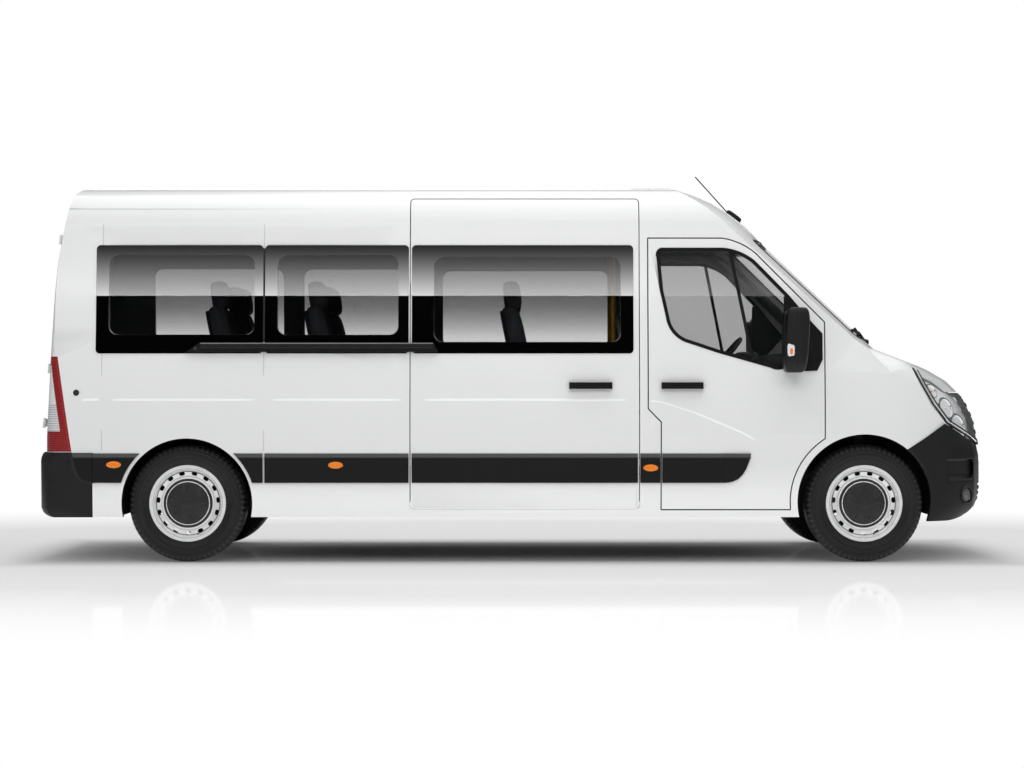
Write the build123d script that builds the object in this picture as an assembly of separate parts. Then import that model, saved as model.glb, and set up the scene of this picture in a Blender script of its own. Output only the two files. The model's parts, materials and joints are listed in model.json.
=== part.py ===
"""High-roof minibus: a long panel-sided people carrier with bonded side glass.

Frame: +X is the front, +Y the vehicle's left, +Z up, millimetres.  The origin is on
the ground, in the middle of the overall length and width.  Every sub-part is written
to parts/NODE.step.

Outline faces are drawn by outline(), in which a step is the end of a straight run, or a
pair (point passed, end point) for an arc.
"""
from build123d import *
import math
import os

# ------------------------------------------------------------------ driving sizes
WHEELBASE = 4330.0
FRONT_AXLE_X = 2209.0
REAR_AXLE_X = FRONT_AXLE_X - WHEELBASE
OVERALL_HALF = 3128.0          # half of the overall length, at both bumpers
BIG = 3400.0                   # reach of a cutting prism beyond the body

# body cross-section (half widths at heights)
SILL_Z, SILL_HALF = 291.0, 1006.0
WIDEST_Z, WIDEST_HALF = 820.0, 1035.0
WAIST_Z, WAIST_HALF = 1220.0, 1022.0
SHOULDER_Z, SHOULDER_HALF = 2170.0, 952.0
ROOF_EDGE_Z, ROOF_EDGE_HALF = 2388.0, 790.0
ROOF_Z = 2455.0

# body side profile
REAR_BOW = 37.0                # by which the rear's middle stands behind its corners
REAR_SECTIONS = (              # height, x of the rear corners
    (90.0, -3023.0),
    (800.0, -3023.0),
    (1333.0, -2997.0),
    (1709.0, -2972.0),
    (1928.0, -2950.0),
    (2100.0, -2918.0),
    (2248.0, -2887.0),
    (2350.0, -2858.0),
    (2402.0, -2805.0),
    (2520.0, -2600.0),
)
ROOF_REAR = (-2770.0, 2422.0)
ROOF_PEAK_X = -700.0
REAR_CORNER_R = 95.0

# windscreen and the roof's front: a cone about an upright axis
SCREEN_AXIS_X = -600.0
SCREEN_FROM_X = 900.0
SCREEN_TOP = (1623.0, 2091.0)
SCREEN_FOOT = (2390.0, 1361.0)
BROW_MID = (1351.0, 2319.0)
BROW_REAR = (1020.0, 2438.0)

# nose: plan sections at heights (height, centre x, x at the corner)
NOSE_CORNER_Y = 750.0
NOSE_SIDE_X = 2330.0
NOSE_SECTIONS = (
    (240.0, 3091.0, 2933.0),
    (750.0, 3091.0, 2933.0),
    (913.0, 3056.0, 2901.0),
    (1039.0, 2998.0, 2836.0),
    (1159.0, 2872.0, 2729.0),
    (1224.0, 2760.0, 2626.0),
    (1420.0, 2400.0, 2290.0),
)
BONNET_REAR = (2390.0, 1361.0)
BONNET_FRONT = (2753.0, 1222.0)
BONNET_CROWN = 36.0            # drop of the bonnet's top from the middle to its edge

WALL = 40.0                    # thickness of doors, sides and roof with their lining
FIT = 0.3                      # gap of a piece that seats on another
DOOR_GAP = 8.0                 # shut line of a moving door
SLIDE_GAP = 6.0                # shut line of the sliding door
SEAL = 12.0                    # rubber seal, thickness and half width

# wheels
TYRE_R, TYRE_WIDTH = 376.0, 224.0
TYRE_FACE_Y = 980.0
WHEEL_Y = TYRE_FACE_Y - TYRE_WIDTH / 2
RIM_HOLES, RIM_HOLE_PCR = 15, 192.0
RIM_HOLE_LONG, RIM_HOLE_WIDE = 37.0, 24.0
SPINDLE_R = 30.0
FRONT_ARCH = (2205.0, 390.0, 428.0)     # x, z, radius
REAR_ARCH = (-2119.0, 376.0, 416.0)
KINGPIN_LOW = (805.0, 282.0)            # y, z of the lower ball joint
KINGPIN_TOP = (690.0, 862.0)            # y, z of the strut's upper seat

# doors
DOOR_BACK_X, DOOR_FRONT_X = 827.0, 1946.0
DOOR_FOOT_X, DOOR_FOOT_Z, DOOR_STEP_Z = 910.0, 342.0, 899.0
DOOR_TOP_Z = 2070.0
DOOR_ARCH_R = 480.0
PILLAR_FOOT_Z = 1533.0
PILLAR_TOP = (1510.0, 1974.0)
SLIDE_BACK_X, SLIDE_FRONT_X = -692.0, 765.0
SLIDE_FOOT_Z, SLIDE_TOP_Z = 347.0, 2327.0
ROOF_SPLIT_Z = 2340.0
REAR_DOOR_HALF, REAR_DOOR_LOW_Z, REAR_DOOR_TOP_Z = 872.0, 716.0, 2262.0
REAR_WINDOW = (130.0, 765.0, 1410.0, 1960.0)        # y from, y to, z from, z to

# side glass: clear openings (x from, x to, z from, z to) and the bonded panes
WINDOWS = (
    (-2618.0, -1690.0, 1455.0, 1967.0),
    (-1542.0, -771.0, 1454.0, 1965.0),
    (-543.0, 648.0, 1408.0, 1953.0),
)
PANES = ((-2700.0, -1634.0), (-1622.0, -704.0), (-684.0, 730.0))
PANE_LOW_Z, PANE_TOP_Z = 1335.0, 2028.0
PANE = 5.0
SILL_BOX = 36.0                # height of the box below the doors
WINDOW_R = 60.0
RUBBER = 22.0                  # rubber frame round the front door's glass

# rear door hinges: barrels on an axis that leans with the rear
HINGE_FOOT = (-3062.0, -876.0, 800.0)
HINGE_LEAN = 130.0 / 1448.0
HINGES = ((890.0, -856.0), (1240.0, -856.0), (2070.0, -838.0))   # z, y where the leaf lands
HINGE_R, HINGE_LONG = 9.0, 62.0
LEAF_WIDE, LEAF_THICK, LEAF_REACH, LEAF_HALF = 28.0, 12.5, 60.0, 25.0

# bumpers and the strips along the side
BUMPER_TOP_Z, BUMPER_LOW_Z, BUMPER_WALL = 735.0, 262.0, 55.0
REAR_BUMPER_LOW_Z = 289.0
STRIP_LOW_Z, STRIP_TOP_Z, STRIP = 510.0, 697.0, 14.0
STRIP_BEVEL = 30.0
STRIPS = ((-2718.0, -2119.0), (-2119.0, -1634.0), (-1622.0, -704.0), (-684.0, 757.0),
          (773.0, 900.0))
MARKERS = ((-2581.0, 626.0), (-1168.0, 623.0), (838.0, 606.0))
HANDLE_Z = (1109.0, 1151.0)
HANDLE_Y = (-1066.0, -1000.0)

# grille and lamps
LAMP_INNER_Y = 528.0
GRILLE_HALF, GRILLE_TOP_Z = LAMP_INNER_Y - FIT, 1080.0
GRILLE_SLOTS = (775.0, 835.0, 895.0, 955.0, 1015.0)
GRILLE_SLOT, GRILLE_SIDE = 36.0, 30.0
BONNET_LOW_Z = 1088.0

# mirror, wipers and aerial
MIRROR_HEAD, MIRROR_SIZE, MIRROR_R = (1756.0, -1142.0, 1418.0), (162.0, 186.0, 418.0), 42.0
WIPERS = ((-700.0, -120.0, -140.0), (-20.0, 560.0, 540.0))   # blade from y, to y, pivot y
WIPER_TIP_Z, WIPER_HEEL_Z, WIPER_PIVOT_Z = 1500.0, 1462.0, 1418.0
WIPER_OUT, WIPER_PIVOT_OUT = 20.0, 12.0
WIPER_BLADE_R, WIPER_ARM_R, WIPER_PIVOT_R = 8.0, 9.0, 11.0
AERIAL_FOOT, AERIAL_TIP, AERIAL_R = (1452.0, 0.0, 2272.0), (1202.0, 0.0, 2549.0), 4.0

FLOOR_Z, FLOOR = 700.0, 40.0
BULKHEAD_X = 1790.0
FLOOR_REAR_X = -2980.0


# ------------------------------------------------------------------ drawing helpers
def outline(start, *steps):
    """Closed face from straight runs and arcs, in plane coordinates."""
    edges, here = [], start
    for step in steps:
        if isinstance(step[0], tuple):
            edges.append(ThreePointArc(here, step[0], step[1]))
            here = step[1]
        else:
            edges.append(Line(here, step))
            here = step
    edges.append(Line(here, start))
    return make_face(edges)


def rounded(points, radius):
    """Closed polygon with every corner rounded."""
    face = make_face(Polyline(*points, close=True))
    return fillet(face.vertices(), radius)


def slab(x_from, x_to, y_from, y_to, z_from, z_to):
    """Upright block between two corners."""
    size = (x_to - x_from, y_to - y_from, z_to - z_from)
    middle = ((x_from + x_to) / 2, (y_from + y_to) / 2, (z_from + z_to) / 2)
    return Pos(*middle) * Box(*size)


def across(face, y_from, y_to):
    """Extrude a face drawn in x and z along the width."""
    plane = Plane(origin=(0, y_to, 0), x_dir=(1, 0, 0), z_dir=(0, -1, 0))
    return extrude(plane * face, amount=y_to - y_from)


def along(face, x_from, x_to):
    """Extrude a face drawn in y and z along the length."""
    plane = Plane(origin=(x_from, 0, 0), x_dir=(0, 1, 0), z_dir=(1, 0, 0))
    return extrude(plane * face, amount=x_to - x_from)


def upward(face, z_from, z_to):
    """Extrude a face drawn in x and y along the height."""
    return extrude(Plane.XY.offset(z_from) * face, amount=z_to - z_from)


def rod(start, end, radius):
    """Round bar between two points."""
    axis = Vector(*end) - Vector(*start)
    plane = Plane(origin=start, z_dir=axis.normalized())
    return extrude(plane * Circle(radius), amount=axis.length)


def wheel_disc(x, z, radius, y_from, y_to):
    """Cylinder along the width about a point of the side view."""
    return across(Pos(x, z) * Circle(radius), y_from, y_to)


def left_of(part):
    """Mirror image on the vehicle's left, solid by solid."""
    images = [mirror(solid, about=Plane.XZ) for solid in part.solids()]
    return images[0] if len(images) == 1 else Compound(images)


def solids_of(*parts):
    """One compound of every solid in the parts."""
    return Compound([solid for part in parts for solid in part.solids()])


# ------------------------------------------------------------------ body volume
def section_face(inset, low):
    """Cross-section of the body, set in by a wall and open to a low edge."""
    waist_mid = ((WIDEST_HALF + WAIST_HALF) / 2 + 3 - inset, (WIDEST_Z + WAIST_Z) / 2)
    shoulder_mid = ((SHOULDER_HALF + ROOF_EDGE_HALF) / 2 + 34 - 0.75 * inset,
                    (SHOULDER_Z + ROOF_EDGE_Z) / 2 + 26 - 0.6 * inset)
    edge = (ROOF_EDGE_HALF - 0.35 * inset, ROOF_EDGE_Z - inset)
    sill, widest = SILL_HALF - inset, WIDEST_HALF - inset
    waist, shoulder = WAIST_HALF - inset, SHOULDER_HALF - inset
    return outline(
        (-sill, low), (sill, low), (sill, SILL_Z + 1), (widest, WIDEST_Z),
        (waist_mid, (waist, WAIST_Z)), (shoulder, SHOULDER_Z), (shoulder_mid, edge),
        ((0, ROOF_Z - inset), (-edge[0], edge[1])),
        ((-shoulder_mid[0], shoulder_mid[1]), (-shoulder, SHOULDER_Z)), (-waist, WAIST_Z),
        ((-waist_mid[0], waist_mid[1]), (-widest, WIDEST_Z)), (-sill, SILL_Z + 1))


def profile_face(inset):
    """Side view below the roof, open at the front and the rear."""
    rear, front = ROOF_REAR[1] - inset, BROW_REAR[1] + 6 - inset
    return outline(
        (BIG, 100), (-BIG, 100), (-BIG, rear - 12), (ROOF_REAR[0], rear),
        ((ROOF_PEAK_X, ROOF_Z - inset), (BROW_REAR[0], front)), (BIG, front))


def rear_volume(inset):
    """Everything ahead of the bowed rear face and its rounded corners."""
    half, start = WIDEST_HALF - inset, WIDEST_HALF - REAR_CORNER_R
    turn = REAR_CORNER_R * (1 - math.sqrt(0.5))
    plans = []
    for z, corner_x in REAR_SECTIONS:
        corner = corner_x + inset
        bend, side = (corner + turn, half - turn), corner + REAR_CORNER_R
        plans.append(Pos(0, 0, z) * outline(
            (BIG, -BIG), (side, -BIG), (side, -half), ((bend[0], -bend[1]), (corner, -start)),
            ((corner - REAR_BOW, 0), (corner, start)), (bend, (side, half)), (side, BIG),
            (BIG, BIG)))
    return loft(plans, ruled=True)


def screen_volume(inset):
    """Everything behind the windscreen's cone and the roof's front."""
    def point(spot, back, down):
        return (spot[0] - SCREEN_AXIS_X - back * inset, spot[1] - down * inset)

    slope = (SCREEN_FOOT[0] - SCREEN_TOP[0]) / (SCREEN_TOP[1] - SCREEN_FOOT[1])
    low = SCREEN_FOOT[1] - 160.0
    foot = (SCREEN_FOOT[0] + 160.0 * slope, low)
    section = outline(
        (0, low), point(foot, 1.4, 0), point(SCREEN_TOP, 0.75, 0.65),
        (point(BROW_MID, 0.55, 0.85), point(BROW_REAR, 0.1, 1.0)),
        (SCREEN_FROM_X - SCREEN_AXIS_X - 100, BROW_REAR[1] + 14 - inset),
        (0, BROW_REAR[1] + 14 - inset))
    return Pos(SCREEN_AXIS_X, 0, 0) * revolve(
        Plane.XZ * section, axis=Axis.Z, revolution_arc=360)


def nose_plan(centre_x, corner_x, inset, reach=0.0):
    """Plan of the nose at one height."""
    half = WIDEST_HALF - inset + reach
    centre, corner = centre_x - inset + reach, corner_x - inset + reach
    corner_y, side_x = NOSE_CORNER_Y - 0.4 * inset, NOSE_SIDE_X
    bend = (side_x + 0.60 * (corner - side_x), corner_y + 0.67 * (half - corner_y))
    return outline(
        (1800, -half), (side_x, -half), ((bend[0], -bend[1]), (corner, -corner_y)),
        ((centre, 0), (corner, corner_y)), (bend, (side_x, half)), (1800, half))


def nose_volume(inset):
    """Nose below the bonnet: plan sections lofted upwards, under the bonnet's crown."""
    faces = [Pos(0, 0, z) * nose_plan(centre, corner, inset)
             for z, centre, corner in NOSE_SECTIONS]
    front = loft(faces, ruled=True)
    rise, run = BONNET_REAR[1] - BONNET_FRONT[1], BONNET_FRONT[0] - BONNET_REAR[0]
    top = BONNET_REAR[1] - 1.07 * inset
    edge_half, side_half = 830.0 - 0.3 * inset, WIDEST_HALF + 10 - inset
    crown = outline(
        (-side_half, 0), (side_half, 0), (side_half, top - 210),
        ((side_half - 55, top - 110), (edge_half, top - BONNET_CROWN)),
        ((0, top), (-edge_half, top - BONNET_CROWN)),
        ((-side_half + 55, top - 110), (-side_half, top - 210)))
    back = 700.0
    start = Plane(origin=(BONNET_REAR[0] - back, 0, back * rise / run),
                  x_dir=(0, 1, 0), z_dir=(1, 0, 0)) * crown
    slope = Vector(run, 0, -rise)
    cover = extrude(start, amount=2.2 * back * slope.length / run, dir=slope.normalized())
    return front & cover


def body_volume(inset):
    """Whole body below its skin, set in by a wall."""
    low = SILL_Z if inset == 0 else 120.0
    tube = along(section_face(inset, low), -BIG, BIG)
    hull = tube & across(profile_face(inset), -BIG, BIG) & rear_volume(inset)
    rear_block = slab(-BIG, SCREEN_FROM_X, -BIG, BIG, 0, BIG)
    door_block = slab(SCREEN_FROM_X - 1, 1960, -BIG, BIG, 0, 1300)
    screen = screen_volume(inset) & slab(SCREEN_FROM_X - 1, BIG, -BIG, BIG, 0, BIG)
    cabin = (hull & rear_block) + (hull & door_block) + (hull & screen)
    nose = tube & nose_volume(inset) & slab(1900, BIG, -BIG, BIG, 0, BIG)
    return cabin + nose


def skin_y(z):
    """Half width of the skin where the section runs straight."""
    if z <= WIDEST_Z:
        share = (z - SILL_Z) / (WIDEST_Z - SILL_Z)
        return SILL_HALF + share * (WIDEST_HALF - SILL_HALF)
    share = (z - WAIST_Z) / (SHOULDER_Z - WAIST_Z)
    return WAIST_HALF + share * (SHOULDER_HALF - WAIST_HALF)


def skin_band(x_from, x_to, z_from, z_to, out_from, out_to, bevel=0.0):
    """Strip along the right side, between two distances out from the flat skin."""
    low, high = skin_y(z_from), skin_y(z_to)
    face = outline(
        (-low - out_from, z_from), (-high - out_from, z_to),
        (-high - out_to + 0.3 * bevel, z_to), (-skin_y(z_to - bevel) - out_to, z_to - bevel),
        (-low - out_to, z_from)) if bevel else outline(
        (-low - out_from, z_from), (-high - out_from, z_to),
        (-high - out_to, z_to), (-low - out_to, z_from))
    return along(face, x_from, x_to)


def screen_x(z, y, out):
    """Length-wise place of a point at a distance in front of the windscreen."""
    slope = (SCREEN_FOOT[0] - SCREEN_TOP[0]) / (SCREEN_TOP[1] - SCREEN_FOOT[1])
    radius = SCREEN_TOP[0] - SCREEN_AXIS_X + (SCREEN_TOP[1] - z) * slope + out * 1.45
    return SCREEN_AXIS_X + math.sqrt(radius ** 2 - y ** 2)


# ------------------------------------------------------------------ outlines and cuts
def door_face():
    """Front door in the side view."""
    corner = (DOOR_FRONT_X, PILLAR_FOOT_Z)
    face = outline(
        (DOOR_FOOT_X, DOOR_FOOT_Z), (DOOR_FRONT_X, DOOR_FOOT_Z), corner, PILLAR_TOP,
        ((1417.0, 2034.0), (1300.0, DOOR_TOP_Z)), (DOOR_BACK_X, DOOR_TOP_Z),
        (DOOR_BACK_X, DOOR_STEP_Z + 85), (DOOR_FOOT_X, DOOR_STEP_Z))
    return face - Pos(*FRONT_ARCH[:2]) * Circle(DOOR_ARCH_R)


def door_window_face():
    """Opening of the front door's window in the side view."""
    return outline(
        (900.0, 1734.0), (938.0, 1564.0), ((984.0, 1462.0), (1075.0, 1403.0)),
        (1263.0, 1340.0), (1604.0, 1243.0), ((1668.0, 1232.0), (1718.0, 1258.0)),
        (1915.0, 1478.0), (1728.0, 1704.0), (1510.0, 1928.0),
        ((1418.0, 1984.0), (1305.0, 2012.0)), (925.0, 2012.0),
        ((885.0, 1998.0), (879.0, 1951.0)))


def slide_face():
    """Sliding door in the side view."""
    return rounded(((SLIDE_BACK_X, SLIDE_FOOT_Z), (SLIDE_FRONT_X, SLIDE_FOOT_Z),
                    (SLIDE_FRONT_X, SLIDE_TOP_Z), (SLIDE_BACK_X, SLIDE_TOP_Z)), 22)


def lamp_edge():
    """Rear and lower edge of the headlamp in the side view, down to the bumper's top."""
    return ((2518.0, 1300.0), (2518.0, 1262.0), (2555.0, 1157.0), (2640.0, 1005.0),
            (2744.0, 885.0), (2946.0, 778.0), (3060.0, BUMPER_TOP_Z), (BIG, BUMPER_TOP_Z))


SIDE_FRONT_X = 1180.0          # joint of the side panel and the A-pillar
HEADER_Z, HEADER_X = REAR_DOOR_TOP_Z + DOOR_GAP, -2700.0

ROOF_FRONT_EDGE = ((1050.0, ROOF_SPLIT_Z), (1330.0, 2100.0))
ROOF_SPAN = BIG + 50
ROOF_CUT = across(outline(
    (-ROOF_SPAN, HEADER_Z), (HEADER_X, HEADER_Z), (HEADER_X, ROOF_SPLIT_Z), *ROOF_FRONT_EDGE,
    (ROOF_SPAN, ROOF_FRONT_EDGE[1][1]), (ROOF_SPAN, ROOF_SPAN), (-ROOF_SPAN, ROOF_SPAN)),
    -1500, 1500)
SIDE_CUT = across(outline(
    (-BIG, 0), (1740, 0), (1740, 370), (SIDE_FRONT_X, 370), (SIDE_FRONT_X, BIG),
    (-BIG, BIG)), -BIG, BIG) - ROOF_CUT
REAR_BUMPER_CUT = across(outline(
    (-BIG, 0), (-2720, 0), (-2720, 516), (-2775, 521), ((-2822, 580), (-2850, 705)),
    (-BIG, 705)), -BIG, BIG)
FRONT_BUMPER_CUT = across(outline(
    (2200, 0), (2476, 722), (2744, 885), (2946, 778), (3060, BUMPER_TOP_Z),
    (BIG, BUMPER_TOP_Z), (BIG, 0)), -BIG, BIG)
ARCH_CUTS = (wheel_disc(*FRONT_ARCH, -BIG, BIG), wheel_disc(*REAR_ARCH, -BIG, BIG))

OUTER = body_volume(0)
CAVITY = body_volume(WALL)
CAVITY_FIT = body_volume(WALL + FIT)
SEAL_BACK = body_volume(WALL + FIT + SEAL)
INSIDE = body_volume(WALL + 2 * FIT + SEAL)


def panel(region):
    """Piece of the body wall inside a region."""
    return (OUTER & region) - CAVITY


def outer_layer(piece, shift):
    """Outermost layer of a wall piece, as deep as the body moved by the shift."""
    return piece - Pos(*shift) * OUTER


def bonnet_face():
    """Bonnet from above, with its front left long."""
    side = ((2262, 850), (2520, 862), (2640, 800), (2760, 700), (2860, 590), (2945, 480))
    return outline(
        (2262.0, -850.0), ((2384.0, 0.0), side[0]), *side[1:], (BIG, 480), (BIG, -480),
        *[(x, -y) for x, y in reversed(side[1:])])


def bonnet_region(gap):
    """Room of the bonnet, from above, widened by the shut line."""
    face = bonnet_face()
    if gap:
        face = offset(face, amount=gap)
    return upward(face, BONNET_LOW_Z - gap, BIG) & slab(2200, BIG, -BIG, BIG, 0, 1480)


def lamp_region(gap):
    """Room of the right headlamp."""
    edge = lamp_edge()
    face = outline(edge[0], *edge[1:], (BIG, 1300))
    room = across(face, -BIG, -LAMP_INNER_Y + gap)
    return room - bonnet_region(DOOR_GAP if gap == 0 else 0)


def screen_region(gap):
    """Room of the windscreen, seen from the front."""
    face = outline(
        (-742.0 - gap, 2076.0 + gap), (-862.0 - gap, 1446.0 - gap),
        ((0.0, 1410.0 - gap), (862.0 + gap, 1446.0 - gap)), (742.0 + gap, 2076.0 + gap))
    return along(fillet(face.vertices(), 45), 1200, BIG)


def tail_lamp_region(gap):
    """Room of the right tail lamp at the rear corner."""
    return across(outline(
        (-BIG, 708 - gap), (-2852 + gap, 708 - gap), (-2943 + gap, 1315 + gap),
        (-BIG, 1315 + gap)), -BIG, -REAR_DOOR_HALF - DOOR_GAP + gap)


def window_faces():
    """Clear openings of the fixed side windows."""
    return [rounded(((x0, z0), (x1, z0), (x1, z1), (x0, z1)), WINDOW_R)
            for x0, x1, z0, z1 in WINDOWS]


# ------------------------------------------------------------------ body panels
def make_roof():
    """Roof with the rear header and the brow above the windscreen."""
    return panel(ROOF_CUT) - across(offset(slide_face(), amount=SLIDE_GAP), -BIG, -500)


def make_side(right):
    """Body side from the rear corner to the B-pillar, with its sill and floor ledge."""
    side = panel(SIDE_CUT & slab(-BIG, BIG, -BIG, -500, 0, BIG))
    sill = slab(-2700, 1740, -BIG, -890, SILL_Z, SILL_Z + SILL_BOX) & OUTER
    side += sill - wheel_disc(REAR_ARCH[0], REAR_ARCH[1], REAR_ARCH[2] + 15, -BIG, BIG)
    side -= along(offset(rear_door_face_right(), amount=DOOR_GAP), -BIG, -2800)
    side -= across(offset(door_face(), amount=DOOR_GAP), -BIG, -500)
    side -= REAR_BUMPER_CUT
    side -= slab(-BIG, -2700, -BIG, BIG, 0, REAR_DOOR_LOW_Z) & slab(
        -BIG, BIG, -REAR_DOOR_HALF - DOOR_GAP, BIG, 0, BIG)
    for cut in ARCH_CUTS:
        side -= cut
    side -= tail_lamp_region(FIT)
    if right:
        side -= across(offset(slide_face(), amount=SLIDE_GAP), -BIG, -500)
    ledge = slab(-2700, 800, -1100, -900, FLOOR_Z - FLOOR - 40, FLOOR_Z - FLOOR) & CAVITY
    ledge -= wheel_disc(REAR_ARCH[0], REAR_ARCH[1], REAR_ARCH[2] + 15, -BIG, BIG)
    side += ledge
    windows = window_faces()[:2] if right else window_faces()
    for face in windows:
        side -= across(face, -BIG, -500)
    return side


def rear_door_face_right():
    """Right rear door seen from behind."""
    inner = DOOR_GAP / 2
    return outline(
        (-inner, REAR_DOOR_LOW_Z), (-inner, REAR_DOOR_TOP_Z),
        (-REAR_DOOR_HALF + 150, REAR_DOOR_TOP_Z),
        ((-REAR_DOOR_HALF + 52, 2190), (-REAR_DOOR_HALF + 12, 2000)),
        (-REAR_DOOR_HALF, 1330), (-REAR_DOOR_HALF, REAR_DOOR_LOW_Z))


def make_front_end():
    """Wings, A-pillars and cowl in one piece."""
    part = panel(slab(SIDE_FRONT_X, BIG, -BIG, BIG, 0, BIG))
    for cut in (ROOF_CUT, SIDE_CUT, FRONT_BUMPER_CUT, ARCH_CUTS[0], screen_region(FIT),
                bonnet_region(DOOR_GAP)):
        part -= cut
    door = across(offset(door_face(), amount=DOOR_GAP), -BIG, -500)
    lamp = lamp_region(FIT)
    part = part - door - left_of(door) - lamp - left_of(lamp)
    return part - slab(2700, BIG, -LAMP_INNER_Y, LAMP_INNER_Y, 600, BONNET_LOW_Z)


def make_bonnet():
    """Bonnet panel between the lamps, down to the grille's top."""
    return panel(bonnet_region(0))


def make_front_door():
    """Right front door with its window opening."""
    door = panel(across(door_face(), -BIG, -500))
    return door - across(door_window_face(), -BIG, -500)


def make_sliding_door():
    """Sliding door with its window opening."""
    door = panel(across(slide_face(), -BIG, -500))
    return door - across(window_faces()[2], -BIG, -500)


def rear_window_face(shrink=0.0):
    """Opening of the right rear door's window, seen from behind."""
    y0, y1, z0, z1 = REAR_WINDOW
    y0, y1, z0, z1 = y0 + shrink, y1 - shrink, z0 + shrink, z1 - shrink
    return rounded(((-y0, z0), (-y1, z0), (-y1, z1), (-y0, z1)), WINDOW_R - shrink)


def hinge_point(z):
    """Point on the right rear door's axis at a height."""
    x, y, foot_z = HINGE_FOOT
    return (x + (z - foot_z) * HINGE_LEAN, y, z)


def make_rear_door():
    """Right rear door with its window opening and hinge barrels."""
    door = panel(along(rear_door_face_right(), -BIG, -2800))
    door -= along(rear_window_face(), -3200, -2810)
    for z, y_land in HINGES:
        x, y_axis, _ = hinge_point(z)
        back, low, high = x - LEAF_THICK / 3, z - LEAF_HALF, z + LEAF_HALF
        leaf = slab(back, back + LEAF_REACH, y_land, y_land + LEAF_WIDE, low, high)
        leaf += slab(back, back + LEAF_THICK, y_axis, y_land + LEAF_WIDE, low, high)
        door += leaf - OUTER
        door += rod(hinge_point(z - HINGE_LONG / 2), hinge_point(z + HINGE_LONG / 2), HINGE_R)
    return door


# ------------------------------------------------------------------ glass and lamps
def make_windscreen():
    """Bowed windscreen, flush with the pillars."""
    return outer_layer(panel(screen_region(0)), (-6, 0, -6))


def make_side_windows():
    """Bonded side panes on both sides, outside the body's openings."""
    panes = [across(rounded(((x0, PANE_LOW_Z), (x1, PANE_LOW_Z), (x1, PANE_TOP_Z),
                             (x0, PANE_TOP_Z)), 26), -BIG, -500)
             & skin_band(x0 - 10, x1 + 10, PANE_LOW_Z - 10, PANE_TOP_Z + 10, 0, PANE)
             for x0, x1 in PANES]
    return solids_of(*panes, *[left_of(pane) for pane in panes])


def make_door_glass():
    """Right front door's glass, inside its rubber frame."""
    face = offset(door_window_face(), amount=-RUBBER)
    return across(face, -BIG, -500) & skin_band(800, 2000, 1200, 2050, -14, -9)


def make_rear_glass():
    """Right rear door's glass."""
    plug = panel(along(rear_window_face(FIT), -BIG, -2700))
    return outer_layer(plug, (6, 0, 0))


def make_headlamps():
    """Clear lamp covers wrapped round the nose's corners."""
    lamp = panel(lamp_region(0))
    cover = outer_layer(lamp, (-9, 4, -4))
    return solids_of(cover, left_of(cover))


def make_tail_lamps():
    """Lamp covers wrapped round the rear corners."""
    cover = outer_layer(panel(tail_lamp_region(0)), (10, 8, 0))
    return solids_of(cover, left_of(cover))


# ------------------------------------------------------------------ bumpers and grille
def front_bumper_volume(inset):
    """Plan of the front bumper, set in by its wall."""
    face = nose_plan(OVERALL_HALF, 2968.0, inset)
    tube = along(section_face(inset, BUMPER_LOW_Z - 60), 2000, BIG)
    return upward(face, BUMPER_LOW_Z - inset, 1000) & tube


def make_front_bumper():
    """Front bumper cover with its lamp pockets and lower intake."""
    cover = (front_bumper_volume(0) - front_bumper_volume(BUMPER_WALL)) & FRONT_BUMPER_CUT
    cover = cover & slab(2200, BIG, -BIG, BIG, BUMPER_LOW_Z, 1000)
    cover -= wheel_disc(*FRONT_ARCH, -BIG, BIG)
    pocket = rounded(((2747, 532), (2961, 532), (2961, 655), (2747, 655)), 20)
    pocket = across(pocket, -BIG, -500) - front_bumper_volume(22)
    intake = slab(2800, BIG, -430, 430, 330, 480)
    for z in (366, 404, 442):
        intake -= slab(2800, BIG, -430, 430, z, z + 12)
    eye = along(Pos(*TOW_EYE[:2]) * Circle(TOW_COVER_R), 2980, BIG)
    return cover - pocket - left_of(pocket) - intake - eye


def rear_bumper_volume(inset):
    """Plan of the rear bumper, set in by its wall."""
    half = WIDEST_HALF - inset
    rear, corner = -OVERALL_HALF + inset, -3066.0 + inset
    plan = outline(
        (-2400, -half), (-2950, -half), ((-3040 + 0.8 * inset, -985 + 0.4 * inset),
                                         (corner, -880)),
        ((rear, 0), (corner, 880)), ((-3040 + 0.8 * inset, 985 - 0.4 * inset), (-2950, half)),
        (-2400, half))
    tube = along(section_face(inset, 250), -BIG, -2000)
    return upward(plan, REAR_BUMPER_LOW_Z - inset, 1000) & tube


def make_rear_bumper():
    """Rear bumper with its step, below the doors."""
    cover = (rear_bumper_volume(0) - rear_bumper_volume(BUMPER_WALL)) & REAR_BUMPER_CUT
    cover = cover & slab(-BIG, 0, -BIG, BIG, REAR_BUMPER_LOW_Z, 703)
    step = slab(-BIG, FLOOR_REAR_X - 2, -860, 860, 640, 703) & rear_bumper_volume(0)
    return cover + step


def make_grille():
    """Grille frame and bars between the headlamps."""
    room = slab(2700, BIG, -GRILLE_HALF, GRILLE_HALF, BUMPER_TOP_Z, GRILLE_TOP_Z)
    grille = panel(room)
    half = GRILLE_HALF - GRILLE_SIDE
    for low in GRILLE_SLOTS:
        grille -= slab(2700, BIG, -half, half, low, low + GRILLE_SLOT)
    return grille - FRONT_BUMPER_CUT


# ------------------------------------------------------------------ trim
def seal_ring(face, reach):
    """Rubber seal behind a door's edge, on the side view or the rear view."""
    ring = offset(face, amount=SEAL) - offset(face, amount=-SEAL)
    return (reach(ring) & CAVITY_FIT) - SEAL_BACK


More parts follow.
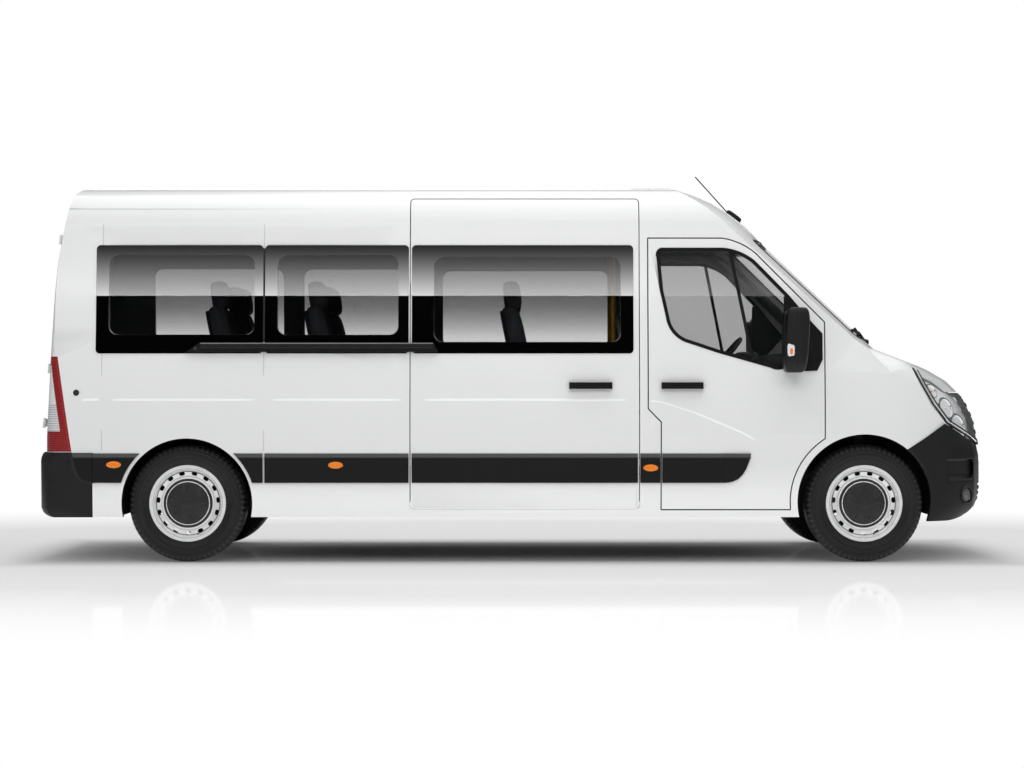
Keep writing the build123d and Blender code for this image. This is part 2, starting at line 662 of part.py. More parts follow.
def make_side_trim():
    """Strips, rail, handle and door seals on the fixed body."""
    arch = wheel_disc(REAR_ARCH[0], REAR_ARCH[1], REAR_ARCH[2] + 22, -BIG, BIG)
    strips = [skin_band(x0, x1, STRIP_LOW_Z, STRIP_TOP_Z, 0, STRIP, STRIP_BEVEL) - arch
              for x0, x1 in STRIPS]
    rail = skin_band(-2119, -517, 1344, 1402, PANE, PANE + 24)
    handle = slab(319, 593, *HANDLE_Y, *HANDLE_Z) - OUTER
    right_only = [rail, handle]
    seals = [seal_ring(door_face(), lambda ring: across(ring, -BIG, -500)),
             seal_ring(rear_door_face_right(), lambda ring: along(ring, -BIG, -2700))]
    both = strips + seals
    bonnet_seal = seal_ring(bonnet_face(), lambda ring: upward(ring, BONNET_LOW_Z, 1500))
    bonnet_seal &= slab(2200, 2900, -BIG, BIG, 0, BIG)
    return solids_of(*both, *[left_of(piece) for piece in both], *right_only, bonnet_seal)


def make_side_markers():
    """Amber marker lamps on the strips."""
    lamps = [across(Pos(x, z) * SlotOverall(108, 50), -BIG, -500)
             & skin_band(x - 60, x + 60, z - 30, z + 30, STRIP, STRIP + 5)
             for x, z in MARKERS]
    return solids_of(*lamps, *[left_of(lamp) for lamp in lamps])


def make_door_trim():
    """Mirror, handle, rubber frame and strip of the right front door."""
    ring = across(door_window_face() - offset(door_window_face(), amount=-RUBBER),
                  -BIG, -500) & skin_band(800, 2000, 1200, 2050, -18, 3)
    strip = skin_band(912, 1475, STRIP_LOW_Z, STRIP_TOP_Z, 0, STRIP, STRIP_BEVEL)
    strip -= across(outline((1308, 500), (1475, 667), (1480, 700), (1600, 700), (1600, 500)),
                    -BIG, -500)
    strip &= across(door_face(), -BIG, -500)
    handle = slab(907, 1172, *HANDLE_Y, *HANDLE_Z) - OUTER
    head = Pos(*MIRROR_HEAD) * Box(*MIRROR_SIZE)
    head = fillet(head.edges(), MIRROR_R)
    arms = slab(1720, 1800, -1080, -960, 1330, 1380) + slab(1720, 1800, -1080, -960, 1255, 1300)
    sail = across(outline((1690, 1215), (1900, 1225), (1935, 1296), (1935, 1462),
                          (1715, 1700), (1690, 1700)), -BIG, -500)
    sail = sail & skin_band(1600, 2000, 1222, 1750, 0.0, 10)
    mirror_part = (head + arms + sail) - OUTER
    return solids_of(ring, strip, handle, mirror_part)


# ------------------------------------------------------------------ chassis
TOW_EYE = (350.0, 570.0)        # y, z of the screwed towing eye
TOW_EYE_R, TOW_COVER_R = 10.0, 28.0
TOW_BAR = (-2860.0, 120.0, 6.5)  # middle, spacing along and hole radius of the tow bar's bolts
RAIL_Y = (430.0, 510.0)
RAIL_Z = (540.0, FLOOR_Z - FLOOR)
HOUSING_R = (8.0, 14.0)         # inner and outer skin of a wheel housing past its arch
HOUSING_INNER_Y = {"front": 524.0, "rear": 684.0}


def kingpin(z, slip=0.0):
    """Point of the right steering axis at a height, moved along the axis by a slip."""
    (y0, z0), (y1, z1) = KINGPIN_LOW, KINGPIN_TOP
    length = math.hypot(y1 - y0, z1 - z0)
    share = (z - z0) / (z1 - z0)
    return (FRONT_AXLE_X, -(y0 + share * (y1 - y0)) - slip * (y1 - y0) / length,
            z + slip * (z1 - z0) / length)


def make_floor():
    """Load floor, rear cross-panel and front bulkhead."""
    plate = slab(FLOOR_REAR_X, BULKHEAD_X, -BIG, BIG, FLOOR_Z - FLOOR, FLOOR_Z)
    plate += slab(FLOOR_REAR_X, FLOOR_REAR_X + 30, -860, 860, 420, FLOOR_Z)
    plate += slab(BULKHEAD_X - 25, BULKHEAD_X, -BIG, BIG, FLOOR_Z - FLOOR, 1300)
    floor = plate & INSIDE
    inner = HOUSING_INNER_Y["rear"] - FIT
    for side in (-1, 1):
        y0, y1 = sorted((side * inner, side * BIG))
        floor -= wheel_disc(REAR_ARCH[0], REAR_ARCH[1], REAR_ARCH[2] + HOUSING_R[1] + FIT,
                            y0, y1)
        y0, y1 = sorted((side * (RAIL_Y[0] - 1), side * (RAIL_Y[1] + 1)))
        floor -= slab(FLOOR_REAR_X - 1, FLOOR_REAR_X + 31, y0, y1, 400, 621)
    return floor - ((rear_bumper_volume(-1) - rear_bumper_volume(BUMPER_WALL + FIT))
                    & slab(-BIG, -2600, -BIG, BIG, 0, BIG))


def make_housing(arch, inner_y, window):
    """Liner of a right wheel arch: a half ring with its inner wall."""
    x, z, radius = arch
    skin, back = radius + HOUSING_R[0], radius + HOUSING_R[1]
    ring = wheel_disc(x, z, back, -BIG, -inner_y)
    ring -= wheel_disc(x, z, skin, -BIG, -inner_y - 6)
    ring = ring & slab(x - 600, x + 600, -BIG, 0, 300, 1000) & CAVITY_FIT
    if window:
        ring -= slab(x - 190, x + 190, -inner_y - 6.5, 0, 0, 640)
    return ring


def make_wheel_housings():
    """Four arch liners."""
    front = make_housing(FRONT_ARCH, HOUSING_INNER_Y["front"], True)
    front -= (front_bumper_volume(-1) - front_bumper_volume(BUMPER_WALL + 1)) \
        & slab(2470, BIG, -BIG, BIG, 0, 1000)
    rear = make_housing(REAR_ARCH, HOUSING_INNER_Y["rear"], True)
    return solids_of(front, rear, left_of(front), left_of(rear))


def make_engine():
    """Engine as one plain block."""
    return slab(2060, 2720, -240, 240, 400, 1020)


def make_underframe():
    """Rails, cross-members, subframe, arms, struts, crash beams, tank and silencer."""
    rail = slab(-2950, 2890, -RAIL_Y[1], -RAIL_Y[0], *RAIL_Z)
    frame = rail + left_of(rail)
    for x in (-2700, -900, 600):
        frame += slab(x - 40, x + 40, -RAIL_Y[0] - 5, RAIL_Y[0] + 5, RAIL_Z[0], RAIL_Z[1])
    frame += slab(2120, 2300, -RAIL_Y[1], RAIL_Y[1], 300, 400)
    leg = slab(2120, 2300, -RAIL_Y[1], -RAIL_Y[0], 300, RAIL_Z[0] + 5)
    arm = upward(outline((2099, -500), (2319, -500), (2254, -805), ((2209, -850), (2164, -805))),
                 238, 262)
    arm += slab(2150, 2270, -520, -480, 238, 305)
    arm += rod(kingpin(255), kingpin(292, -FIT), 20)
    strut = rod(kingpin(470, FIT), kingpin(845), 26)
    strut = strut & wheel_disc(FRONT_ARCH[0], FRONT_ARCH[1], FRONT_ARCH[2] + HOUSING_R[0] - FIT,
                               -BIG, BIG)
    frame += leg + left_of(leg) + arm + left_of(arm)
    beam = slab(2890, 2940, -600, 600, 500, 640) + slab(2935, BIG, -190, -110, 540, 600) \
        + slab(2935, BIG, 110, 190, 540, 600)
    frame += beam & front_bumper_volume(BUMPER_WALL + FIT)
    tails = slab(-BIG, -2945, 430, 510, 560, 620) + slab(-BIG, -2945, -510, -430, 560, 620)
    frame += tails & rear_bumper_volume(BUMPER_WALL + FIT)
    frame -= along(Pos(*TOW_EYE) * Circle(TOW_EYE_R), 2880, 2950)
    bolt_x, spacing, bolt_r = TOW_BAR
    for x in (bolt_x - spacing / 2, bolt_x + spacing / 2):
        for y in (-sum(RAIL_Y) / 2, sum(RAIL_Y) / 2):
            frame -= upward(Pos(x, y) * Circle(bolt_r), RAIL_Z[0] - 1, RAIL_Z[1] + 1)
    tank = fillet(slab(-1000, -100, 545, 880, 330, 659.7).edges().filter_by(Axis.X), 50)
    silencer = rod((-1500, -640, 480), (-800, -640, 480), 95)
    silencer += slab(-1160, -1140, -690, -590, 560, FLOOR_Z - FLOOR - FIT)
    silencer += rod((-1495, -620, 478), (-2880, -620, 478), 22)
    silencer += slab(-2660, -2645, -635, -605, 495, FLOOR_Z - FLOOR - FIT)
    return solids_of(frame, strut, left_of(strut), tank, silencer)


def make_rear_axle():
    """Beam axle with its final drive, spindles and leaf springs."""
    z = TYRE_R
    axle = rod((REAR_AXLE_X, -770, z), (REAR_AXLE_X, 770, z), 55)
    axle += rod((REAR_AXLE_X, -130, z), (REAR_AXLE_X, 130, z), 150)
    axle += rod((REAR_AXLE_X, -WHEEL_Y - 52, z), (REAR_AXLE_X, WHEEL_Y + 52, z), SPINDLE_R)
    half, top = 620.0, RAIL_Z[0] - FIT
    spring = outline(
        (REAR_AXLE_X - half, top), (REAR_AXLE_X - half, top - 40),
        ((REAR_AXLE_X, z + 40), (REAR_AXLE_X + half, top - 40)), (REAR_AXLE_X + half, top),
        (REAR_AXLE_X + half - 70, top),
        ((REAR_AXLE_X, z + 80), (REAR_AXLE_X - half + 70, top)))
    spring = across(spring, -RAIL_Y[1] + 8, -RAIL_Y[0] - 8)
    return axle + spring + left_of(spring)


def make_knuckle():
    """Right steering knuckle with its spindle."""
    post = rod(kingpin(292), kingpin(470), 34)
    x, y, z = kingpin(TYRE_R)
    spindle = rod((x, y + 10, z), (x, -WHEEL_Y - 52, z), SPINDLE_R)
    plate = rod((x, y - 20, z), (x, y - 38, z), 78)
    return post + spindle + plate


# ------------------------------------------------------------------ wheels
def lathe(face, x, y):
    """Turn a section (outward distance, radius) about a right wheel's axis."""
    plane = Plane(origin=(x, y, TYRE_R), x_dir=(0, -1, 0), z_dir=(-1, 0, 0))
    return revolve(plane * face, axis=Axis((x, y, TYRE_R), (0, 1, 0)), revolution_arc=360)


def make_tyre(x):
    """Right tyre at a length-wise place."""
    half = TYRE_WIDTH / 2
    face = outline(
        (-84.6, 222.4), (-84.6, 245.6), (-93.0, 245.6), ((-half, 306.0), (-half + 12, 356.0)),
        ((-half + 19, 367.0), (-half + 34, TYRE_R - 4)), ((0, TYRE_R), (half - 34, TYRE_R - 4)),
        ((half - 19, 367.0), (half - 12, 356.0)), ((half, 306.0), (93.0, 245.6)),
        (84.6, 245.6), (84.6, 222.4))
    return lathe(face, x, -WHEEL_Y)


def make_rim(x):
    """Right steel wheel with its ring of holes and centre cap."""
    bore = SPINDLE_R + 0.6
    face = outline(
        (-92, 245), (-85, 245), (-85, 222), (85, 222), (85, 245), (92, 245), (92, 215),
        (68, 208), (58, 176), (64, 160), (80, 118), (88, 60), (88, 0), (54, 0), (54, bore),
        (-26, bore), (-26, 58), (42, 58), (50, 150), (46, 176), (54, 200), (50, 212),
        (-92, 212))
    rim = lathe(face, x, -WHEEL_Y)
    for i in range(RIM_HOLES):
        turn = 360.0 / RIM_HOLES * i - 90
        hole = Rot(0, 0, turn) * Pos(RIM_HOLE_PCR, 0) * Rot(0, 0, 90) * SlotOverall(
            RIM_HOLE_LONG, RIM_HOLE_WIDE)
        rim -= across(Pos(x, TYRE_R) * hole, -WHEEL_Y - 90, -WHEEL_Y - 30)
    return rim


# ------------------------------------------------------------------ interior
SEAT_ROWS = (-1915.0, -1280.0, -645.0, -10.0)
SEAT_WIDTH = 440.0
PEDESTAL_Y = 660.0
DRIVER_Y = 430.0
STEER_CENTRE = (1430.0, DRIVER_Y, 1310.0)
STEER_TILT = 40.0


def make_seat(x, y_middle, places, hip=1010.0):
    """Seat or bench: cushion, back, head restraints and pedestal."""
    half = places * SEAT_WIDTH / 2 - 8
    side = outline(
        (x, hip), (x + 470, hip + 20), (x + 478, hip + 105), (x + 130, hip + 98),
        (x + 12, hip + 620), (x - 88, hip + 610))
    seat = across(side, y_middle - half, y_middle + half)
    for i in range(places):
        y = y_middle + (i - (places - 1) / 2) * SEAT_WIDTH
        seat += slab(x - 72, x, y - 120, y + 120, hip + 640, hip + 795)
        seat += slab(x - 52, x - 20, y - 60, y + 60, hip + 600, hip + 645)
    y0, y1 = max(y_middle - half + 60, -PEDESTAL_Y), min(y_middle + half - 60, PEDESTAL_Y)
    seat += slab(x + 60, x + 380, y0, y1, FLOOR_Z, hip + 15)
    return seat


def make_seats():
    """Cab seats and four passenger rows."""
    seats = [make_seat(800, DRIVER_Y, 1), make_seat(800, -470, 2)]
    for x in SEAT_ROWS:
        seats += [make_seat(x, 480, 2), make_seat(x, -620, 1)]
    return solids_of(*seats)


def steering_point(distance):
    """Point on the steering column's axis, forward and down from the wheel."""
    tilt = math.radians(STEER_TILT)
    x, y, z = STEER_CENTRE
    return (x + distance * math.cos(tilt), y, z - distance * math.sin(tilt))


def make_dashboard():
    """Dashboard with its shelf below the windscreen and the steering column."""
    face = outline((1570, 980), (1545, 1200), (1615, 1330), (2110, 1368), (2110, 1338),
                   (BULKHEAD_X - 25 - FIT, 1304), (BULKHEAD_X - 25 - FIT, 980))
    dash = across(face, -900, 900) & INSIDE
    return dash + rod(steering_point(40 + FIT), steering_point(230), 32)


def make_steering_wheel():
    """Steering wheel with its spokes and boss."""
    plane = Plane(origin=steering_point(0), x_dir=(0, 1, 0),
                  z_dir=Vector(*steering_point(-1)) - Vector(*steering_point(0)))
    wheel = plane * Torus(185, 15)
    wheel += rod(steering_point(40), steering_point(-5), 45)
    for turn in (0, 180, 270):
        spoke = Rot(0, 0, turn) * Pos(110, 0, -4) * Box(155, 34, 12)
        wheel += plane * spoke
    return wheel


def make_wipers():
    """Two wipers along the windscreen's foot."""
    def spot(y, z, out):
        return (screen_x(z, y, out), y, z)

    arms = []
    for y_tip, y_heel, y_pivot in WIPERS:
        tip, heel = spot(y_tip, WIPER_TIP_Z, WIPER_OUT), spot(y_heel, WIPER_HEEL_Z, WIPER_OUT)
        foot = spot(y_pivot, WIPER_PIVOT_Z, -10)
        top = spot(y_pivot, WIPER_PIVOT_Z, WIPER_PIVOT_OUT)
        middle = ((tip[0] + heel[0]) / 2 + 6, (y_tip + y_heel) / 2, (tip[2] + heel[2]) / 2)
        arm = rod(tip, heel, WIPER_BLADE_R) + rod(foot, top, WIPER_PIVOT_R)
        arms.append(arm + rod(top, middle, WIPER_ARM_R) - OUTER)
    return solids_of(*arms)


def make_aerial():
    """Roof aerial on its foot."""
    foot = across(outline((1400, 2200), (1530, 2150), (1507, 2222), (1470, 2262), (1426, 2294)),
                  -22, 22) - OUTER
    return foot + rod(AERIAL_FOOT, AERIAL_TIP, AERIAL_R)


# ------------------------------------------------------------------ write the parts
def write(name, part):
    """Write one node as a STEP file."""
    export_step(solids_of(part), f"parts/{name}.step")


def main():
    """Build and write every node."""
    os.makedirs("parts", exist_ok=True)
    single = {
        "roof": make_roof(), "side_right": make_side(True),
        "side_left": left_of(make_side(False)), "front_end": make_front_end(),
        "floor": make_floor(), "wheel_housings": make_wheel_housings(),
        "windscreen": make_windscreen(), "side_windows": make_side_windows(),
        "sliding_door": make_sliding_door(), "front_bumper": make_front_bumper(),
        "rear_bumper": make_rear_bumper(), "grille": make_grille(),
        "headlamps": make_headlamps(), "tail_lamps": make_tail_lamps(),
        "side_trim": make_side_trim(), "side_markers": make_side_markers(),
        "dashboard": make_dashboard(), "seats": make_seats(), "engine": make_engine(),
        "underframe": make_underframe(), "rear_axle": make_rear_axle(),
        "wipers": make_wipers(), "aerial": make_aerial(), "bonnet": make_bonnet(),
        "steering_wheel": make_steering_wheel()}
    for name, piece in single.items():
        write(name, piece)
    paired = {
        "front_door_{}": make_front_door(), "front_door_{}_glass": make_door_glass(),
        "front_door_{}_trim": make_door_trim(), "rear_door_{}": make_rear_door(),
        "rear_door_{}_glass": make_rear_glass(), "knuckle_{}": make_knuckle(),
        "tyre_front_{}": make_tyre(FRONT_AXLE_X), "tyre_rear_{}": make_tyre(REAR_AXLE_X),
        "rim_front_{}": make_rim(FRONT_AXLE_X), "rim_rear_{}": make_rim(REAR_AXLE_X)}
    for name, piece in paired.items():
        write(name.format("right"), piece)
        write(name.format("left"), left_of(piece))


if __name__ == "__main__":
    main()
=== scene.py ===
"""The minibus dressed for the studio: finishes, glazing, lamps, wheels and trim on its CAD frame.

Sizes are in millimetres in the frame that the CAD model uses: X forward, Y to the left, Z up,
with the ground at Z 0. Pieces are turned into metres when they become objects. Finishes work in
metres, in each object's own coordinates.
"""

from __future__ import annotations

import json
import logging
import math
from dataclasses import dataclass
from enum import Enum
from typing import Callable, Iterable, Sequence

import bmesh
import bpy
import numpy as np
from mathutils.bvhtree import BVHTree
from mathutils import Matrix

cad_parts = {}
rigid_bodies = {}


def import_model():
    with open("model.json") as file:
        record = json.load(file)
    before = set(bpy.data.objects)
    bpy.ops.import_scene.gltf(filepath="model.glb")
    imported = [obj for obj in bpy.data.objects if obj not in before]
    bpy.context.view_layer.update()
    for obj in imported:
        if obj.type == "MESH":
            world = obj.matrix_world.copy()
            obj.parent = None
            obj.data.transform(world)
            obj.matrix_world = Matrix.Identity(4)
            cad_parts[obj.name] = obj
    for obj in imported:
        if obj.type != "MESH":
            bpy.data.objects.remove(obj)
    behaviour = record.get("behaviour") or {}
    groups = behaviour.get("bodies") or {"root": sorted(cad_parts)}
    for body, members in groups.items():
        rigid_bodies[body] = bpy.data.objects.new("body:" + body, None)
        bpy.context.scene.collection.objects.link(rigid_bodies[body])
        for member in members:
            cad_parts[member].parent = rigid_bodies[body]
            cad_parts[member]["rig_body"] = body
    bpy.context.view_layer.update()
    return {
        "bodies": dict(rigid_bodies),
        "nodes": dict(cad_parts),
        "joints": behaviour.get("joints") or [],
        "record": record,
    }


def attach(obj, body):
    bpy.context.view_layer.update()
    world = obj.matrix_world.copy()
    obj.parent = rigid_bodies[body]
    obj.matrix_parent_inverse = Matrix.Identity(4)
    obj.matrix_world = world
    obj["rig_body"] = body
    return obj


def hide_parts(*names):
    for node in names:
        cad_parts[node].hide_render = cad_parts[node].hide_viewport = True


LOG = logging.getLogger("minibus")
Array = np.ndarray
Color = tuple[float, float, float]
Point = tuple[float, float, float]
MM = 0.001
WELD = 0.00002
TURN = 2 * math.pi
SIDES = ("right", "left")
DOOR, REAR_DOOR = "front_door_right", "rear_door_right"


# ------------------------------------------------------------------ shader maths
class Socket:
    """An output socket of a shader, with Python's operators as Math nodes."""

    def __init__(self, shade: "Shade", socket: bpy.types.NodeSocket) -> None:
        """Wraps one socket of a material."""
        self.shade, self.socket = shade, socket

    def math(self, operation: str, *others: "Socket | float") -> "Socket":
        """Adds one Math node with this socket first."""
        return self.shade.node("ShaderNodeMath", {"operation": operation}, [self, *others])

    def __add__(self, other: "Socket | float") -> "Socket":
        """Sum."""
        return self.math("ADD", other)

    def __sub__(self, other: "Socket | float") -> "Socket":
        """Difference."""
        return self.math("SUBTRACT", other)

    def __rsub__(self, other: float) -> "Socket":
        """Difference from a number."""
        return self.shade.node("ShaderNodeMath", {"operation": "SUBTRACT"}, [other, self])

    def __mul__(self, other: "Socket | float") -> "Socket":
        """Product."""
        return self.math("MULTIPLY", other)

    __radd__, __rmul__ = __add__, __mul__

    def above(self, level: float, soft: float) -> "Socket":
        """Step from 0 to 1 round a level, over a soft width."""
        return self.shade.node(
            "ShaderNodeMapRange", {"interpolation_type": "SMOOTHSTEP"},
            {"Value": self, "From Min": level - soft / 2, "From Max": level + soft / 2})

    def below(self, level: float, soft: float) -> "Socket":
        """Step from 1 to 0 round a level, over a soft width."""
        return 1 - self.above(level, soft)

    def size(self) -> "Socket":
        """Absolute value."""
        return self.math("ABSOLUTE")

    def least(self, other: "Socket | float") -> "Socket":
        """Smaller of two."""
        return self.math("MINIMUM", other)

    def most(self, other: "Socket | float") -> "Socket":
        """Larger of two."""
        return self.math("MAXIMUM", other)

    def wave(self, pitch: float) -> "Socket":
        """Sine with a full turn in each pitch."""
        return (self * (TURN / pitch)).math("SINE")


class Shade:
    """A material under construction, with one Principled shader."""

    def __init__(self, name: str) -> None:
        """Starts a material of that name."""
        self.material = bpy.data.materials.new(name)
        self.material.use_nodes = True
        self.tree = self.material.node_tree
        self.tree.nodes.clear()
        self.shader = self.tree.nodes.new("ShaderNodeBsdfPrincipled")
        self.output = self.tree.nodes.new("ShaderNodeOutputMaterial")
        self.tree.links.new(self.shader.outputs[0], self.output.inputs[0])
        self.place = self.node("ShaderNodeTexCoord", {}, {}, "Object")

    def node(self, kind: str, settings: dict, inputs: "dict | list",
             output: "int | str" = 0) -> Socket:
        """Adds a node.

        Args:
            kind: the node's type.
            settings: its own settings, set before its sockets.
            inputs: values or sockets by name or index.
            output: which output to hand back.

        Returns:
            That output as a Socket.
        """
        made = self.tree.nodes.new(kind)
        for key, value in settings.items():
            setattr(made, key, value)
        pairs = inputs.items() if isinstance(inputs, dict) else enumerate(inputs)
        for key, value in pairs:
            self.join(value, made.inputs[key])
        return Socket(self, made.outputs[output])

    def join(self, value: object, target: bpy.types.NodeSocket) -> None:
        """Links a Socket to an input, or sets a plain value on it."""
        if isinstance(value, Socket):
            self.tree.links.new(value.socket, target)
        elif isinstance(value, tuple) and target.type == "RGBA":
            target.default_value = (*value, 1.0)[:4]
        else:
            target.default_value = value

    def split(self, vector: Socket) -> tuple[Socket, Socket, Socket]:
        """X, Y and Z of a vector."""
        outputs = self.node("ShaderNodeSeparateXYZ", {}, [vector]).socket.node.outputs
        return tuple(Socket(self, outputs[i]) for i in range(3))

    def axes(self) -> tuple[Socket, Socket, Socket]:
        """X, Y and Z of the object's own frame, in metres."""
        return self.split(self.place)

    def length(self, *parts: "Socket | float") -> Socket:
        """Length of the vector with these parts."""
        vector = self.node("ShaderNodeCombineXYZ", {}, parts)
        return self.node("ShaderNodeVectorMath", {"operation": "LENGTH"}, [vector], "Value")

    def noise(self, scale: float, detail: float = 3.0) -> Socket:
        """Noise from 0 to 1, with features of about 1 / scale metres."""
        return self.node("ShaderNodeTexNoise", {}, {
            "Vector": self.place, "Scale": scale, "Detail": detail, "Roughness": 0.55})

    def mix(self, share: "Socket | float", first: object, second: object) -> Socket:
        """Colour between two, by a share from 0 to 1."""
        return self.node("ShaderNodeMix", {"data_type": "RGBA"},
                         {0: share, 6: first, 7: second}, 2)

    def between(self, share: Socket, low: float, high: float) -> Socket:
        """Number between two, by a share from 0 to 1."""
        return share * (high - low) + low

    def set(self, **values: object) -> None:
        """Sets inputs of the Principled shader; spaces are written as underscores."""
        for key, value in values.items():
            self.join(value, self.shader.inputs[key.replace("_", " ")])

    def bump(self, height: Socket, depth: float) -> None:
        """Raises the surface by a height from 0 to 1 times a depth in metres."""
        self.set(Normal=self.node("ShaderNodeBump", {}, {
            "Height": height, "Distance": depth, "Strength": 1.0}))

    def surface(self, shader: Socket) -> None:
        """Gives the material another shader in place of the Principled one."""
        self.join(shader, self.output.inputs[0])


# ------------------------------------------------------------------ finishes
@dataclass(frozen=True)
class Finish:
    """A plain finish: two shades that drift into each other, and a fine grain.

    The slot names the record's material slot for pieces in this finish, where it has one; no piece
    is put in it here.
    """

    name: str
    base: Color
    other: Color
    rough: tuple[float, float] = (0.4, 0.55)
    slot: str = ""
    metallic: float = 0.0
    coat: float = 0.0
    patch: float = 6.0
    grain: float = 900.0
    depth: float = 0.0
    specular: float = 0.5

    def drift(self, made: Shade) -> Socket:
        """The two shades, mixed by broad noise."""
        return made.mix(made.noise(self.patch), self.base, self.other)

    def shade(self) -> Shade:
        """Builds the shader and hands it back for more work."""
        made = Shade(self.name)
        made.set(Base_Color=self.drift(made),
                 Roughness=made.between(made.noise(self.patch), *self.rough),
                 Metallic=self.metallic, Coat_Weight=self.coat, Coat_Roughness=0.06,
                 Specular_IOR_Level=self.specular)
        if self.depth:
            made.bump(made.noise(self.grain, 2.0), self.depth)
        return made

    def material(self) -> bpy.types.Material:
        """The finished material."""
        return self.shade().material


@dataclass(frozen=True)
class BodyPaint(Finish):
    """White enamel outside, grey felt lining on faces that look into the vehicle."""

    lining: Color = (0.30, 0.30, 0.31)
    axis_z: float = 1.35
    film: Color = (0.62, 0.61, 0.59)
    # Painted light: enamel painted paler low on the sides, standing in for light bounced up from
    # the floor.
    painted_floor_light: Color = (0.94, 0.943, 0.947)
    painted_floor_light_z: float = 0.52
    arch: Color = (0.012, 0.012, 0.012)
    arches: tuple[Point, ...] = ((2.205, 0.390, 0.4292), (-2.119, 0.376, 0.4172))

    def shade(self) -> Shade:
        """Adds road film, painted light from the floor low on the sides, the lining and dark
        arches to the enamel.
        """
        made = super().shade()
        x, y, z = made.axes()
        dusty = made.noise(3.0, 5.0) * z.below(0.75, 0.7) * 0.15
        coat = made.mix(dusty, self.drift(made), self.film)
        # Painted light from the floor: below this height the enamel is mixed towards the paler
        # colour.
        coat = made.mix(z.below(self.painted_floor_light_z, 0.30), coat, self.painted_floor_light)
        nx, ny, nz = made.split(made.node("ShaderNodeNewGeometry", {}, {}, "Normal"))
        outward = (ny * y + nz * (z - self.axis_z) + nx * x * 0.12).above(-0.12, 0.02)
        color = made.mix(outward, self.lining, coat)
        for arch_x, arch_z, radius in self.arches:
            away = made.length(x - arch_x, z - arch_z)
            color = made.mix(away.above(radius, 0.001), self.arch, color)
        made.set(Base_Color=color, Roughness=made.between(outward, 0.9, self.rough[0]),
                 Coat_Weight=outward * self.coat)
        return made


@dataclass(frozen=True)
class BandGlass(Finish):
    """Bonded side glass: a black printed border round tinted clear openings."""

    openings: tuple[tuple[float, float, float, float], ...] = ()
    corner: float = 0.055
    fade_z: tuple[float, float] = (1.45, 1.701)
    clear: tuple[float, float] = (0.13, 0.42)

    def shade(self) -> Shade:
        """Masks each opening with the distance to a rounded rectangle."""
        made = super().shade()
        x, _, z = made.axes()
        border, r = None, self.corner
        for x0, x1, z0, z1 in self.openings:
            across = (x - (x0 + x1) / 2 * MM).size() - ((x1 - x0) / 2 * MM - r)
            upright = (z - (z0 + z1) / 2 * MM).size() - ((z1 - z0) / 2 * MM - r)
            outside = made.length(across.most(0), upright.most(0))
            solid = (outside + across.most(upright).least(0) - r).above(0.0, 0.002)
            border = solid if border is None else border.least(solid)
        fade = made.node("ShaderNodeMapRange", {}, {
            "Value": z, "From Min": self.fade_z[0], "From Max": self.fade_z[1],
            "To Min": self.clear[0], "To Max": self.clear[1]})
        made.set(Alpha=border.most(fade))
        return made


@dataclass(frozen=True)
class BorderGlass(Finish):
    """Windscreen: clear, with a dark printed border at its foot and its top."""

    foot_z: float = 1.415
    top_z: float = 2.045
    side_y: float = 1.10
    lean: float = 0.16
    clear: float = 0.20

    def shade(self) -> Shade:
        """Border where a point is low, high or far out; the sides lean in with height."""
        made = super().shade()
        _, y, z = made.axes()
        edge = (y.size() + z * self.lean).above(self.side_y, 0.01)
        border = z.below(self.foot_z, 0.012).most(z.above(self.top_z, 0.02)).most(edge)
        made.set(Alpha=made.between(border, self.clear, 1.0))
        return made


@dataclass(frozen=True)
class RearGlass(Finish):
    """Rear door glass with heater lines."""

    clear: float = 0.55
    line: float = 0.9
    pitch: float = 0.030
    wire: Color = (0.10, 0.04, 0.02)

    def shade(self) -> Shade:
        """Thin level lines, one to a pitch."""
        made = super().shade()
        lines = made.axes()[2].wave(self.pitch).above(0.985, 0.01)
        made.set(Alpha=made.between(lines, self.clear, self.line),
                 Base_Color=made.mix(lines, self.base, self.wire))
        return made


@dataclass(frozen=True)
class SlopedStrip(Finish):
    """Moulded strip, with a painted highlight on its sloped upper face where light from above
    would catch it.
    """

    slope: tuple[float, float] = (0.672, 0.695)
    pale: Color = (0.075, 0.077, 0.079)

    def shade(self) -> Shade:
        """Paints the highlight over the heights that the slope takes up."""
        made = super().shade()
        height = made.axes()[2]
        low, high = self.slope
        # Painted highlight: the band of the sloped face is mixed towards the paler colour.
        share = height.above(low, 0.012) * height.below(high, 0.003)
        made.set(Base_Color=made.mix(share, self.base, self.pale))
        return made


@dataclass(frozen=True)
class WheelFinish(Finish):
    """A finish whose pattern follows the axle, front or rear."""

    axle_z: float = 0.376
    axles: tuple[float, float] = (-2.121, 2.209)

    def from_axle(self, made: Shade) -> tuple[Socket, Socket]:
        """How far a point lies before and above its axle, in metres."""
        x, _, z = made.axes()
        return x - made.between(x.above(0.0, 0.01), *self.axles), z - self.axle_z


